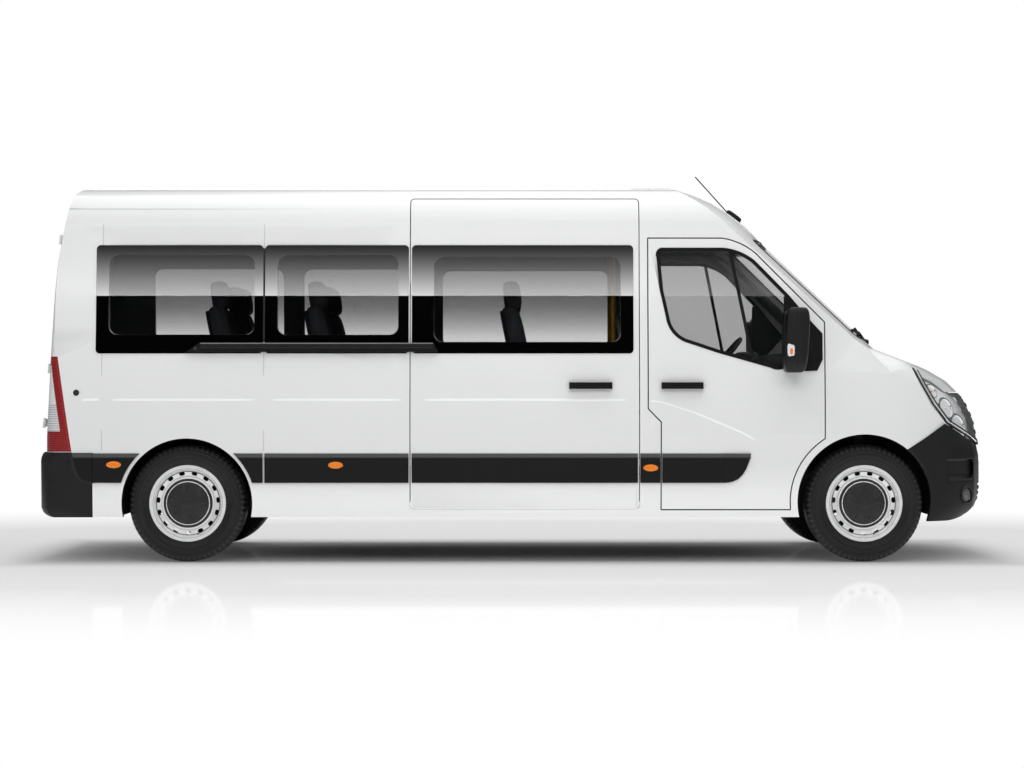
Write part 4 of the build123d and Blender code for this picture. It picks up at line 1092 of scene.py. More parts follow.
    def lamp(self, name: str, place: Point, aim: Point, size: tuple[float, float]) -> None:
        """A soft box that is seen neither by the camera nor in gloss."""
        light = bpy.data.lights.new(name, "AREA")
        light.shape, light.size, light.size_y, light.energy = "RECTANGLE", *size, self.watts
        made = self.linked(name, light)
        made.location = place
        way = np.array(aim, float) - place
        made.rotation_euler = (math.atan2(math.hypot(way[0], way[1]), -way[2]), 0,
                               math.atan2(way[1], way[0]) - math.pi / 2)
        made.visible_camera = made.visible_glossy = False


# ------------------------------------------------------------------ body
@dataclass
class BodyShell:
    """Painted panels and what is pressed into them."""

    shop: Workshop
    panels: tuple[str, ...] = ("roof", "side_right", "side_left", "front_end", "sliding_door",
                               "bonnet", "front_door_right", "front_door_left",
                               "rear_door_right", "rear_door_left")
    seams: tuple[float, ...] = (-2660.0, -1628.0)
    seam_z: tuple[float, float] = (715.0, 2165.0)
    crease_z: float = 1038.0
    creases: tuple[tuple[str, float, float], ...] = (
        ("swage_rear", -2790, -2668), ("swage_quarter", -2652, -1636),
        ("swage_middle", -1618, -704))
    slide: tuple[float, float] = (-680, 753)
    ribs: tuple[float, ...] = (0.0, 210.0, 420.0)
    roof: tuple[tuple[float, ...], tuple[float, ...]] = (
        (-2770, -2300, -1500, -700, 200, 1020), (2422, 2440, 2452, 2455, 2452, 2438))

    def build(self) -> None:
        """Paints the panels and adds seams, creases and ribs."""
        for node in self.panels:
            self.shop.refined(node, Kit.PAINT)
        for i, x in enumerate(self.seams):
            z = np.linspace(*self.seam_z, 40)
            path = beside_skin(np.full_like(z, x), z, -0.4)
            self.shop.pair(f"panel_seam_{i}", carried(path, ring(3.0, 8, 0.4), (0, -1, 0)),
                           Kit.SEAM)
        # Painted highlight: the creases are finished in paler enamel.
        for name, x0, x1 in self.creases:
            self.shop.pair(name, self.crease(x0, x1), Kit.CREASE, sharp=60)
        slide = self.crease(*self.slide)
        self.shop.piece("swage_slide", slide, Kit.CREASE, sharp=60)
        self.shop.piece("swage_slide_left", slide.mirrored(), Kit.CREASE, sharp=60)
        self.roof_ribs()

    def crease(self, x0: float, x1: float) -> Form:
        """One run of the raised crease below the windows, its ends sunk into the panel."""
        x, s = np.linspace(x0, x1, 24), np.linspace(-1, 1, 24)
        path = beside_skin(x, np.full_like(x, self.crease_z), 1.4)
        path[:, 1] += 4.5 * np.abs(s) ** 8
        return carried(path, ring(9.0, 14, 0.40), (0, -1, 0))

    def roof_ribs(self) -> None:
        """Long shallow ribs pressed into the roof, on its middle and beside it."""
        for i, y in enumerate(self.ribs):
            x, s = np.linspace(-2500, 700, 60), np.linspace(-1, 1, 60)
            z = np.interp(x, *self.roof) - 67 * (y / 790.0) ** 2 - 5.0 - 8.0 * np.abs(s) ** 20
            form = carried(np.stack([x, np.full_like(x, -y), z], -1), ring(34.0, 16, 0.2))
            make, name = (self.shop.pair, f"roof_rib_{i}") if y else (
                self.shop.piece, "roof_rib_middle")
            make(name, form, Kit.PAINT, sharp=60)


# ------------------------------------------------------------------ wheels
@dataclass
class RoadWheel:
    """Tyre with grooves and blocks, silver steel wheel, dark centre cap."""

    shop: Workshop
    name: str
    x: float
    wheel_y: float = 868.0
    radius: float = 376.0
    lugs: int = 6
    wall: tuple[tuple[float, float], ...] = (
        (-84.6, 224.0), (-84.6, 245.0), (-90, 246.5), (-95, 252), (-99, 254), (-99, 259),
        (-103.5, 266), (-108.5, 281), (-110.5, 283), (-111.6, 300), (-112, 306), (-111.4, 318),
        (-109.2, 330), (-110.0, 332), (-108.4, 338), (-106.6, 339), (-103, 350), (-99, 358),
        (-94.5, 364.5), (-88, 369))
    crown: tuple[float, ...] = (-80, -71, -70, -60, -59, -50, -30, -26, -25, -15, -14, -10)
    groove: float = 8.0
    cap_r: tuple[float, ...] = (0, 12, 24, 30, 34, 40, 52, 66, 78, 88, 96, 104, 112, 120, 128,
                                138, 148, 154, 158, 158.5)
    cap_rise: tuple[float, ...] = (92.5, 92.5, 92.2, 91.6, 89.6, 89.4, 89.2, 88.4, 87.4, 86.2,
                                   85, 83.6, 82, 80.2, 78, 74.5, 70.5, 67.5, 64.5, 61)
    cap_back: tuple[tuple[float, float], ...] = ((156, 58), (0.5, 50))

    def build(self) -> None:
        """Builds the right wheel and its mirror image on the left."""
        body, pair = f"wheel_{self.name}_right", self.shop.pair
        tyres = pair(f"tyre_tread_{self.name}", self.tyre(), Kit.TYRE, body, sharp=35)
        for side, made in zip(SIDES, tyres):
            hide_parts(f"tyre_{self.name}_{side}")
            self.shop.refined(f"rim_{self.name}_{side}", Kit.STEEL, 35)
        pair(f"hub_cap_{self.name}", self.cap(), Kit.CAP, body, sharp=50)
        bead = ring(1.0, 12) * (5.5, 3.2) + (164.5, 63.5)
        pair(f"rim_ring_{self.name}", turned_solid(bead, 120, self.centre), Kit.STEEL, body,
             sharp=60)
        pair(f"valve_{self.name}", self.valve(), Kit.RUBBER, body)

    @property
    def centre(self) -> Point:
        """Middle of the right wheel."""
        return (self.x, -self.wheel_y, self.radius)

    def tyre(self) -> Form:
        """Profile with four grooves, turned, then cut into blocks at the shoulders.

        Depth of a cut = 5 mm where |d| lies in the shoulder band and sin(70 t + skew) is
        near its top.
        """
        crown_d = np.array(self.crown)
        crown_r = self.radius - 3.6 * (crown_d / 78.0) ** 2
        crown_r[[2, 3, 8, 9]] -= self.groove
        right = np.vstack([self.wall, np.stack([crown_d, crown_r], -1)])
        d, rad = np.vstack([right, right[::-1] * (-1, 1)]).T[..., None]
        t = circle(280)
        band = np.exp(-((np.abs(d) - 90) / 12.0) ** 4)
        cut = np.clip((np.sin(70 * t + 0.03 * d) - 0.45) * 4, 0, 1)
        radius = rad - 5.0 * band * cut
        points = np.stack([radius * np.cos(t), np.broadcast_to(d, radius.shape),
                           radius * np.sin(t)], -1) + self.centre
        return Form.grid(points[:, ::-1], wrap_u=True, wrap_v=True)

    def cap(self) -> Form:
        """Domed cap: a height for each radius r, with nuts and spokes raised by formula.

        A nut adds 8 exp(-((r - 104) / 15)^2) (0.5 + 0.5 cos(6 t + pi / 2))^10 and a spoke
        4 exp(-((r - 96) / 26)^2) (0.5 + 0.5 cos 12 t)^24; a groove runs round at r = 138.
        """
        r = np.concatenate([self.cap_r[:8], np.arange(70, 150, 4.0), self.cap_r[17:],
                            self.cap_back[0][:1]])[:, None]
        h = np.interp(r, self.cap_r, self.cap_rise)
        h[-1] = self.cap_back[0][1]
        t = circle(180)
        lug = np.exp(-((r - 104) / 15.0) ** 2) * (
            0.5 + 0.5 * np.cos(self.lugs * t + np.pi / 2)) ** 10
        spoke = np.exp(-((r - 96) / 26.0) ** 2) * (0.5 + 0.5 * np.cos(2 * self.lugs * t)) ** 24
        rise = h + 8.0 * lug + 4.0 * spoke - 3.0 * np.exp(-((r - 138) / 5.0) ** 2)
        rise = np.vstack([rise, np.full((1, len(t)), self.cap_back[1][1])])
        r = np.vstack([r, [self.cap_back[1][:1]]])
        r[0] = 0.4
        points = np.stack([r * np.cos(t), -rise, r * np.sin(t)], -1) + self.centre
        return Form.grid(points, wrap_v=True, caps=True)

    def valve(self) -> Form:
        """Rubber valve stem with its cap, near the lowest hole."""
        angle = math.radians(-72)
        out = np.array([math.cos(angle), 0, math.sin(angle)])
        foot = self.centre + 212 * out + (0, -52, 0)
        line = np.linspace(foot, foot - 8 * out + (0, -34, 0), 10)[:, None]
        scale = np.array([6, 6, 5.4, 4.6, 4.4, 4.4, 4.4, 4.4, 4.2, 3.2])[:, None, None]
        section = ring(1.0, 12)[None]
        across = np.array([out[2], 0, -out[0]])
        points = line + scale * (section[..., :1] * across + section[..., 1:] * out)
        return Form.grid(points, wrap_v=True, caps=True)


# ------------------------------------------------------------------ seats
@dataclass
class Seating:
    """Cab and passenger seats: crowned cushions on pedestals."""

    shop: Workshop
    rows: tuple[float, ...] = (-1915.0, -1280.0, -645.0, -10.0)
    cab_x: float = 800.0
    pitch: float = 440.0
    hip: float = 1010.0
    floor_z: float = 700.0
    wall_y: float = 660.0
    replaced: bool = False

    def build(self) -> None:
        """Builds every seat; the first frame piece stands for the CAD seats."""
        self.bench("cab_driver", self.cab_x, 430.0, 1, bolster=1.25)
        self.bench("cab_bench", self.cab_x, -470.0, 2, bolster=1.1)
        for i, x in enumerate(self.rows):
            self.bench(f"row_{i + 1}_double", x, 480.0, 2)
            self.bench(f"row_{i + 1}_single", x, -620.0, 1)

    def bench(self, name: str, x: float, y_middle: float, places: int,
              bolster: float = 1.0) -> None:
        """One seat or bench: pads per place, one frame."""
        ys = [y_middle + (i - (places - 1) / 2) * self.pitch for i in range(places)]
        h = self.hip
        cushion = self.pad(478, 424, 108, 12, (-0.35, 0.25), bolster).tilted(-2)
        back = self.pad(590, 424, 118, 14, (-0.45, -0.05, 0.4), bolster)
        back.points[:, 1] *= 1 - 0.12 * np.clip(back.points[:, 0] / 290, 0, 1) ** 2
        head = self.pad(186, 250, 104, 10, (), 0.0, 22, 26)
        for part, form, dx, dz, fill in (
                ("cushion", cushion, 243, 52, 0.7),
                ("back", back.stood().tilted(-11.5), -4, 350, 0.65),
                ("headrest", head.stood().tilted(-8), -38, 706, 0.75)):
            pads = joined(form.moved(x + dx, y, h + dz) for y in ys)
            made = self.shop.piece(f"{name}_{part}", pads, Kit.CLOTH, sharp=80)
        made = self.shop.piece(f"{name}_frame", self.frame_of(x, y_middle, places, ys), Kit.TRIM,
                               slot="seat", sharp=50)
        if not self.replaced:
            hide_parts("seats")
            self.replaced = True

    @staticmethod
    def pad(length: float, width: float, thick: float, crown: float, channels: Sequence[float],
            bolster: float, rows: int = 38, columns: int = 34) -> Form:
        """A pillow of two sheets that meet in a welt.

        With u, v from -1 to 1: rim R = ((1-u^6)(1-v^6))^0.35, top = R (thick/2 + crown
        (1-u^2)(1-v^2)), less sewn channels 9 exp(-((u-c)/0.035)^2) between the bolsters and
        8 exp(-((|v|-0.60)/0.035)^2) along them; sides draw in by 3 % of (1-u^2).
        """
        def even(count: int) -> Array:
            """Even spacing with finer steps at both ends."""
            s = np.linspace(-1, 1, count)
            return np.sign(s) * (1 - (1 - np.abs(s)) ** 1.35)

        u, v = np.meshgrid(even(rows), even(columns), indexing="ij")
        corner = 1 - 0.05 * (u * v) ** 4
        draw = 1 - 0.03 * (1 - u ** 2)
        x, y = u * length / 2 * corner, v * width / 2 * corner * draw
        rim = ((1 - u ** 6) * (1 - v ** 6)) ** 0.35
        side = np.clip((np.abs(v) - 0.60) / 0.3, 0, 1)
        lift = bolster * 16 * side * (1 - side ** 3) * 2.0
        sewn = 8 * np.exp(-((np.abs(v) - 0.60) / 0.035) ** 2) + sum(
            9 * np.exp(-((u - c) / 0.035) ** 2) * (np.abs(v) < 0.60) for c in channels)
        top = rim * (thick / 2 + crown * (1 - u ** 2) * (1 - v ** 2) + lift - sewn)
        return Form.grid(np.stack([x, y, top], -1)) + Form.grid(
            np.stack([x, y, -rim * thick / 2], -1)[::-1])

    def frame_of(self, x: float, y_middle: float, places: int, ys: Sequence[float]) -> Form:
        """Pedestal, back shell, posts of the head restraints and arm rests."""
        h, z0 = self.hip, self.floor_z
        half = places * self.pitch / 2 - 8
        y0, y1 = max(y_middle - half + 60, -self.wall_y), min(y_middle + half - 60, self.wall_y)
        legs = [block((x + 220, (y0 + y1) / 2, (z0 + h) / 2), (320, y1 - y0, h - z0), 0.12, 16)]
        shell = block((0, 0, 0), (26, 396, 520), 0.18, 20).tilted(-11.5)
        shells = [shell.moved(x - 52, y, h + 350) for y in ys]
        posts = [carried([(x - back, y + d, h + rise) for back, rise in
                          ((24, 560), (36, 650), (40, 700))], ring(6, 10), (0, 1, 0))
                 for y in ys for d in (-58, 58)]
        s = np.linspace(0, 1, 16)
        droop = h + 300 + 8 * np.sin(np.pi * s) - 26 * s ** 4
        arms = [carried(np.stack([x + 20 + 300 * s, np.full_like(s, y_middle + k * (half - 6)),
                                  droop], -1), ring(20, 14, 0.8), (0, 1, 0)) for k in (-1, 1)]
        return joined([*legs, *shells, *posts, *arms])


# ------------------------------------------------------------------ bumpers
@dataclass
class Bumpers:
    """Grained bumpers with their rounded edges, fog lamps, plates, sensors and the grille."""

    shop: Workshop
    front_cuts: tuple[float, ...] = (275, 285, 300, 320, 340, 360, 420, 500, 560, 620, 640, 660,
                                     680, 700, 718, 735)
    front_z: tuple[float, ...] = (262, 285, 310, 340, 380, 440, 490, 620, 660, 700, 735, 900)
    front_in: tuple[float, ...] = (112, 76, 46, 26, 12, 4, 6, 6, 10, 24, 36, 36)
    rear_cuts: tuple[float, ...] = (295, 305, 320, 335, 350, 500, 650, 670, 690)
    rear_z: tuple[float, ...] = (289, 300, 320, 350, 650, 680, 703)
    rear_in: tuple[float, ...] = (62, 36, 15, 3, 0, 5, 20)
    fog: Point = (4000.0, -2080.0, 425.0)
    fog_way: Point = (0.66, -0.75, 0.0)
    plate_half: float = 258.0
    plate_high: float = 112.0
    grille_half: float = 512.0

    def build(self) -> None:
        """Builds both bumpers and what they carry."""
        self.shop.refined("front_bumper", Kit.BUMPER, 35, cuts=self.front_cuts,
                          shape=self.front_shape)
        self.shop.refined("rear_bumper", Kit.BUMPER, 35, cuts=self.rear_cuts,
                          shape=self.rear_shape)
        self.fog_lamps()
        self.plates()
        self.covers()
        self.grille()

    def front_shape(self, points: Array) -> Array:
        """Draws the front in by a table of heights, in full past x 3080, not at all at 2600."""
        x, y, z = points.T
        lower = 1 - 0.55 * np.clip((z - 640) / 90, 0, 1)
        drawn = np.interp(z, self.front_z, self.front_in) + lower * nose_draw(y)
        foot = np.clip((340 - z) / 70, 0, 1) * 46 * np.clip((x - 2800) / 300, 0, 1) ** 1.3
        return np.stack([x - np.clip((x - 2600) / 480, 0, 1) * drawn, y, z + foot], -1)

    def rear_shape(self, points: Array) -> Array:
        """The same at the rear, from x -2880 back."""
        x, y, z = points.T
        share = np.clip((-2880 - x) / 160, 0, 1)
        return np.stack([x + share * np.interp(z, self.rear_z, self.rear_in), y, z], -1)

    def fog_lamps(self) -> None:
        """Round fog lamps: bezel, bright bowl and lens, looking forward and outward."""
        way = self.fog_way
        place = self.shop.landed("front_bumper", [self.fog], [-c for c in way])[0]
        place = tuple(place - np.array(way) * (3.0 + 0.6 * float(nose_draw(place[1]))))
        for name, kit, profile in (
                ("fog_bezel", Kit.TRIM, ((58, -6), (60, 3), (55, 8), (48, 6), (45, -2),
                                         (46, -20), (58, -20))),
                ("fog_bowl", Kit.CHROME, ((45, -2), (40, -12), (28, -22), (12, -28), (1, -29),
                                          (1, -31), (30, -26), (46, -12))),
                ("fog_lens", Kit.LENS, ((0.5, 6), (16, 5.4), (30, 3.6), (40, 1), (45, -2),
                                        (43, -4), (30, 0), (16, 2), (0.5, 2.6)))):
            self.shop.pair(name, turned_solid(profile).aimed(way, place), kit)

    def plates(self) -> None:
        """Blank plates that follow the bumper and the rear door."""
        y, z = np.meshgrid(np.linspace(-self.plate_half, self.plate_half, 30),
                           np.linspace(0, self.plate_high, 8), indexing="ij")
        front = np.stack([3122 - y ** 2 / 3516 - nose_draw(y), y, z + 500.0], -1)
        y, z = y + 440.0, z + 1010.0
        rear = np.stack([rear_x(y, z, 6.0), y, z], -1)[::-1]
        self.shop.piece("plate_front", Form.grid(front), Kit.BARE, sheet=3)
        self.shop.piece("plate_rear", Form.grid(rear), Kit.BARE, "rear_door_left", sheet=3)

    def covers(self) -> None:
        """Parking sensors in the rear bumper and the cover over the towing eye."""
        disc = turned_solid(((0.5, 2.4), (9, 2.2), (11.5, 1.2), (12, -4), (0.5, -4)), 24)
        for i, y in enumerate((250.0, 620.0)):
            form = disc.aimed((-1, -0.04 - y / 9000, 0), (-3128 + y ** 2 / 12000, -y, 520))
            self.shop.pair(f"parking_sensor_{i}", form, Kit.TRIM)
        cover = turned_solid(((0.5, 1.2), (24, 1.0), (26.5, -1), (26.5, -8), (0.5, -8)), 36)
        self.shop.piece("towing_eye_cover", cover.aimed((1, 0.25, 0), (3055, 350, 570)),
                        Kit.BUMPER)

    def grille(self) -> None:
        """Finned dark core, a bead down each side and a blank bar down the middle."""
        y, z = np.meshgrid(np.linspace(-505, 505, 160), np.linspace(740, 1078, 30), indexing="ij")
        core = np.stack([grille_x(z, y, -78.0) + 2.0 * np.sin(y * 0.62), y, z], -1)
        self.shop.piece("radiator_core", Form.grid(core), Kit.CHASSIS, sheet=12)
        z = np.linspace(746, 1064, 30)
        for name, y, out, section, make in (
                ("grille_bead", self.grille_half, -12.0, ring(8, 14), self.shop.pair),
                ("grille_middle", 0.0, -4.0, ring(7, 20, 6.3), self.shop.piece)):
            path = np.stack([grille_x(z, y, out), np.full_like(z, -y), z], -1)
            make(name, carried(path, section, (0, 1, 0)), Kit.TRIM, slot="grille")


# ------------------------------------------------------------------ lamps
@dataclass
class Lamps:
    """Head and tail lamps with what is inside them, markers and the brake lamp.

    Each bowl has its place, the way it looks and its radius.
    """

    shop: Workshop
    bowls: tuple[tuple[Point, Point, float], ...] = (
        ((2862.0, -784.0, 872.0), (0.70, -0.66, 0.28), 70.0),
        ((2776.0, -822.0, 990.0), (0.66, -0.68, 0.32), 60.0),
        ((2672.0, -858.0, 1100.0), (0.58, -0.72, 0.38), 42.0))
    sink: float = 20.0
    edge: tuple[tuple[float, ...], ...] = (
        (0, 0.16, 0.42, 0.66, 0.92, 1.0), (2530, 2566, 2650, 2748, 2942, 3004),
        (1240, 1157, 1012, 888, 779, 748))
    borders: tuple[tuple[str, float, float, Kit], ...] = (
        ("lamp_seal", 3.0, 6.0, Kit.RUBBER), ("lamp_bead", 17.0, 5.0, Kit.CHROME),
        # lamp_shadow is a dark rubber strip of painted shadow beside the lamp, not a seal.
        ("lamp_shadow", 28.0, 4.0, Kit.RUBBER))
    markers: tuple[tuple[float, float], ...] = ((-2581, 626), (-1168, 623), (838, 606))

    def build(self) -> None:
        """Builds every lamp."""
        shop = self.shop
        shop.refined("headlamps", Kit.LENS)
        self.housing()
        for i, (place, way, radius) in enumerate(self.bowls):
            self.bowl(i, place, way, radius)
        self.rim()
        shop.refined("tail_lamps", Kit.TAIL)
        shop.refined("side_markers", Kit.TRIM)
        for i, (x, z) in enumerate(self.markers):
            place = (x, -(float(skin_y(z)) + 18), z)
            shop.pair(f"marker_rim_{i}", oval(place, (50, 24), ring(3.5, 8), 48), Kit.TRIM)
            shop.pair(f"marker_dome_{i}", block(place, (98, 16, 46), 1.0, 20), Kit.AMBER)
        shop.piece("high_brake_lamp", block((-2914, 0, 2292), (18, 310, 26), 0.2), Kit.RED)

    def rim(self) -> None:
        """A dark seal, a bright bead and a dark strip of painted shadow along the headlamp's rear
        and lower edge.

        The edge is a line in x and z, sent across on to the lamp's cover.
        """
        s, (known, *rows) = np.linspace(0, 1, 60), self.edge
        x, z = (np.interp(s, known, row) for row in rows)
        for name, shift, radius, kit in self.borders:
            starts = np.stack([x + shift * 0.8, np.full_like(x, -1500.0), z + shift * 0.6], -1)
            path = self.shop.landed("headlamps", starts.tolist(), (0, 1, 0))
            self.shop.pair(name, carried(path, ring(radius, 10), (0, 1, 0)), kit)

    def housing(self) -> None:
        """Silvered inner wall: the cover's own shape moved inwards."""
        def inwards(points: Array) -> Array:
            """Back, towards the middle and down."""
            return points - np.stack([np.full(len(points), 34.0), 20.0 * np.sign(points[:, 1]),
                                      np.full(len(points), 14.0)], -1)

        name = "headlamp_housing"
        mesh = self.shop.shell("headlamps", name, Kit.FLUTES, shape=inwards)
        made = self.shop.placed(name, mesh, "body")

    def bowl(self, number: int, place: Point, way: Point, radius: float) -> None:
        """Parabolic reflector with a rolled rim, and a bulb with its shield."""
        centre = tuple(np.asarray(place) - np.asarray(way) / np.linalg.norm(way) * self.sink)
        r = np.linspace(0.02, 1, 12)
        cup = np.stack([r, -0.75 * (1 - r ** 2)], -1) * radius
        rim = [(radius * 1.03, 2.0), (radius * 1.08, 2.0), (radius * 1.10, -4.0)]
        outer = cup[::-1] * (1.06, 1) - (0, 5)
        bulb = ((0.5, 4), (radius * 0.12, 3), (radius * 0.17, -2), (radius * 0.17, -radius * 0.6),
                (0.5, -radius * 0.62))
        bezel = ((radius * 1.08, 1), (radius * 1.26, -3), (radius * 1.28, -10),
                 (radius * 1.08, -10))
        amber = number == 2
        for name, profile, steps, kit, slot, sharp in (
                ("bowl", [*cup, *rim, *outer], 56, Kit.CHROME, "", 50),
                ("bulb", bulb, 28, Kit.AMBER if amber else Kit.OPAL, "clear_lamp", 40),
                ("bezel", bezel, 56, Kit.TRIM, "", 50)):
            form = turned_solid(profile, steps).aimed(way, centre)
            self.shop.pair(f"lamp_{name}_{number}", form, kit, slot=slot, sharp=sharp)


# ------------------------------------------------------------------ side trim
@dataclass
class SideTrim:
    """Strips, rail, handles, mirrors and the front doors' fittings."""

    shop: Workshop
    strip_ends: tuple[tuple, ...] = (
        ("strip_corner", Kit.STRIP, "body", -1, 14, 4, "trim",
         ((-2720, 697), (-2846, 697), (-2838, 640), (-2822, 584), (-2804, 552), (-2778, 530),
          (-2748, 519), (-2720, 516))),
        ("strip_corner_joint", Kit.RUBBER, "body", -1, 3, 0, "trim",
         ((-2716, 700), (-2862, 700), (-2856, 640), (-2840, 576), (-2816, 538), (-2784, 514),
          (-2750, 506), (-2716, 506))),
        ("strip_end", Kit.STRIP, DOOR, -1, 14.8, 4, "trim",
         ((1300, 697), (1478, 697), (1467, 650), (1448, 600), (1425, 562), (1397, 534),
          (1363, 518), (1330, 511), (1300, 510))),
        ("pane_joint", Kit.RUBBER, "body", -3, 2.5, 0, "black",
         ((-1637, 1408), (-1620, 1408), (-1620, 2008), (-1637, 2008))))
    card: tuple[tuple[float, float], ...] = (
        (905, 1190), (900, 640), (960, 400), (1640, 400), (1700, 560), (1720, 900), (1820, 1180),
        (1640, 1196), (1060, 1330))
    crease_x: tuple[float, ...] = (830, 900, 954, 1108, 1263, 1418, 1487, 1510)
    crease_z: tuple[float, ...] = (1034, 1025, 1010, 961, 896, 829, 791, 776)

    def build(self) -> None:
        """Builds the trim of both sides."""
        self.shop.refined("side_trim", Kit.STRIP, 25, shape=self.rail_ends,
                          second=(Kit.JOINT, lambda c: np.abs(c[:, 1]) < skin_y(c[:, 2]) - 22))
        for side in SIDES:
            self.shop.refined(f"front_door_{side}_trim", Kit.STRIP, keep=self.no_head)
        self.mirrors()
        for name, kit, body, inner, outer, bevel, slot, outline in self.strip_ends:
            self.shop.pair(name, on_skin(outline, inner, outer), kit, body, bevel=bevel, slot=slot)
        self.door_fittings()
        self.side_fittings()

    @staticmethod
    def rail_ends(points: Array) -> Array:
        """Leans the rail's ends: its upper corners move inwards along it."""
        moved = points.copy()
        high = (np.abs(points[:, 2] - 1402) < 2) & (points[:, 1] < 0)
        for end, shift in ((-2119, 84), (-517, -30)):
            moved[high & (np.abs(points[:, 0] - end) < 2), 0] += shift
        return moved

    @staticmethod
    def no_head(centres: Array) -> Array:
        """Keeps all but the mirror's plain head and arms, which are modelled anew."""
        x, y, z = centres.T
        return ~((np.abs(y) > 1043) & (z > 1200) & (z < 1640) & (x > 1660))

    def mirrors(self) -> None:
        """Mirror head, a block drawn in towards its top and front, with arms and glasses."""
        head = block((0, 0, 0), (160, 184, 414), 0.34, 40)
        p = head.points
        high, front = p[:, 2] / 207, p[:, 0] / 80
        p = p * np.stack([1 - 0.10 * high ** 2, 1 - 0.07 * np.clip(high, 0, 1) ** 2
                          - 0.13 * np.clip(front, 0, 1) ** 2, np.ones_like(high)], -1)
        p[:, 0] += 12 * high - 6
        head = Form(p + (1756, -1142, 1418), head.faces)
        seam = framed(rounded_outline(-1231, -1053, 1216, 1620, 44), 1728, ring(2.2, 8))
        arms = joined(carried(((1758, -985, z0), (1758, -1020, z0 + 3), (1756, -1075, z1)),
                              ring(22, 16, 0.8)) for z0, z1 in ((1352, 1362), (1278, 1290)))
        rows = [("head", head, Kit.BUMPER, "trim", 60), ("seam", seam, Kit.RUBBER, "", 40),
                ("arms", arms, Kit.BUMPER, "trim", 60)]
        for name, z0, z1 in (("main", 1375, 1590), ("wide", 1252, 1352)):
            outline = rounded_outline(-1218, -1068, z0, z1, 26)
            glass = plate(outline, 0, 5, axis=0).moved(1671, 0, 0)
            rows += [(f"glass_{name}", glass, Kit.MIRROR, "", 40),
                     (f"frame_{name}", framed(outline, 1674, ring(5, 8)), Kit.TRIM, "", 40)]
        lens = block((1714, -1221.4, 1352), (60, 26, 112), 0.55, 24)
        bulb = block((1712, -1228.45, 1346), (30, 13, 62), 0.7, 18)
        rows += [("indicator", lens, Kit.OPAL, "", 40),
                 ("indicator_bulb", bulb, Kit.AMBER, "", 40)]
        for name, form, kit, slot, sharp in rows:
            self.shop.pair(f"mirror_{name}", form, kit, DOOR, slot=slot, sharp=sharp)

    def door_fittings(self) -> None:
        """Crease, handle dishes, lock, division bar, door card and arm rest of the front doors,
        and the sliding door's handle dish.
        """
        pair = self.shop.pair
        x = np.linspace(842, 1500, 40)
        path = beside_skin(x, np.interp(x, self.crease_x, self.crease_z), 0.4)
        # Painted highlight: the door's crease is finished in paler enamel.
        pair("door_crease", carried(path, ring(8, 12, 0.42), (0, -1, 0)), Kit.CREASE, DOOR,
             sharp=60)
        for make, name, x, body in ((pair, "door", 1040.0, DOOR),
                                    (self.shop.piece, "slide", 455.0, "body")):
            dish = oval((x, 2.2 - float(skin_y(1122)), 1118), (88, 52), ring(6.5, 10, 0.4), 60)
            make(f"handle_dish_{name}", dish, Kit.PAINT, body, sharp=60)
        lock = turned_solid(((0.5, 2.6), (8, 2.4), (10, 1), (10, -4), (0.5, -4)), 24,
                            (1196, -float(skin_y(1130)), 1130))
        pair("door_lock", lock, Kit.STEEL, DOOR, slot="black")
        x, z = np.linspace((1350, 1990), (1490, 1300), 16).T
        bar = carried(beside_skin(x, z, -10), ring(11, 10, 0.5), (0, -1, 0))
        pair("division_bar", bar, Kit.TRIM, DOOR)
        pair("door_card", on_skin(self.card, -52, -42), Kit.DASH, DOOR, bevel=4)
        rest = block((1260, -930, 960), (560, 76, 70), 0.35, 24)
        pair("door_arm_rest", rest, Kit.DASH, DOOR, sharp=60)

    def side_fittings(self) -> None:
        """Door stop at the rear corner, fuel flap on the left, and along the rail a pale line of
        painted highlight, a dark groove and a bolt.
        """
        stop = turned_solid(((0.5, 9), (13, 8.5), (19, 5), (21, 0), (21, -6), (0.5, -6)), 32,
                            (-2822, -float(skin_y(1084)), 1084))
        self.shop.pair("door_stop", stop, Kit.RUBBER)
        flap = beside_skin(*rounded_outline(905, 1085, 820, 985, 26).T, -0.8)
        form = carried(flap, ring(2.6, 8, 0.6), (0, 1, 0), True).moved(-1960, 0, 0)
        self.shop.piece("fuel_flap_line", form.mirrored(), Kit.JOINT)
        x = np.linspace(-2030, -548, 40)
        for name, height, out, section, kit in (
                # Painted highlight: a pale line along the rail's top edge, where light would catch
                # it.
                ("rail_painted_highlight", 1399.0, 28.5, ring(3.6, 8), Kit.EDGE),
                ("rail_groove", 1377.0, 27.6, ring(12, 10, 0.2), Kit.SCREEN)):
            path = beside_skin(x, np.full_like(x, height), out)
            self.shop.piece(name, carried(path, section, (0, -1, 0)), kit, slot="trim")
        bolt = block((-2062, -float(skin_y(1372)) - 29, 1366), (22, 8, 22), 0.8, 12)
        self.shop.piece("rail_bolt", bolt, Kit.CHASSIS, slot="trim")


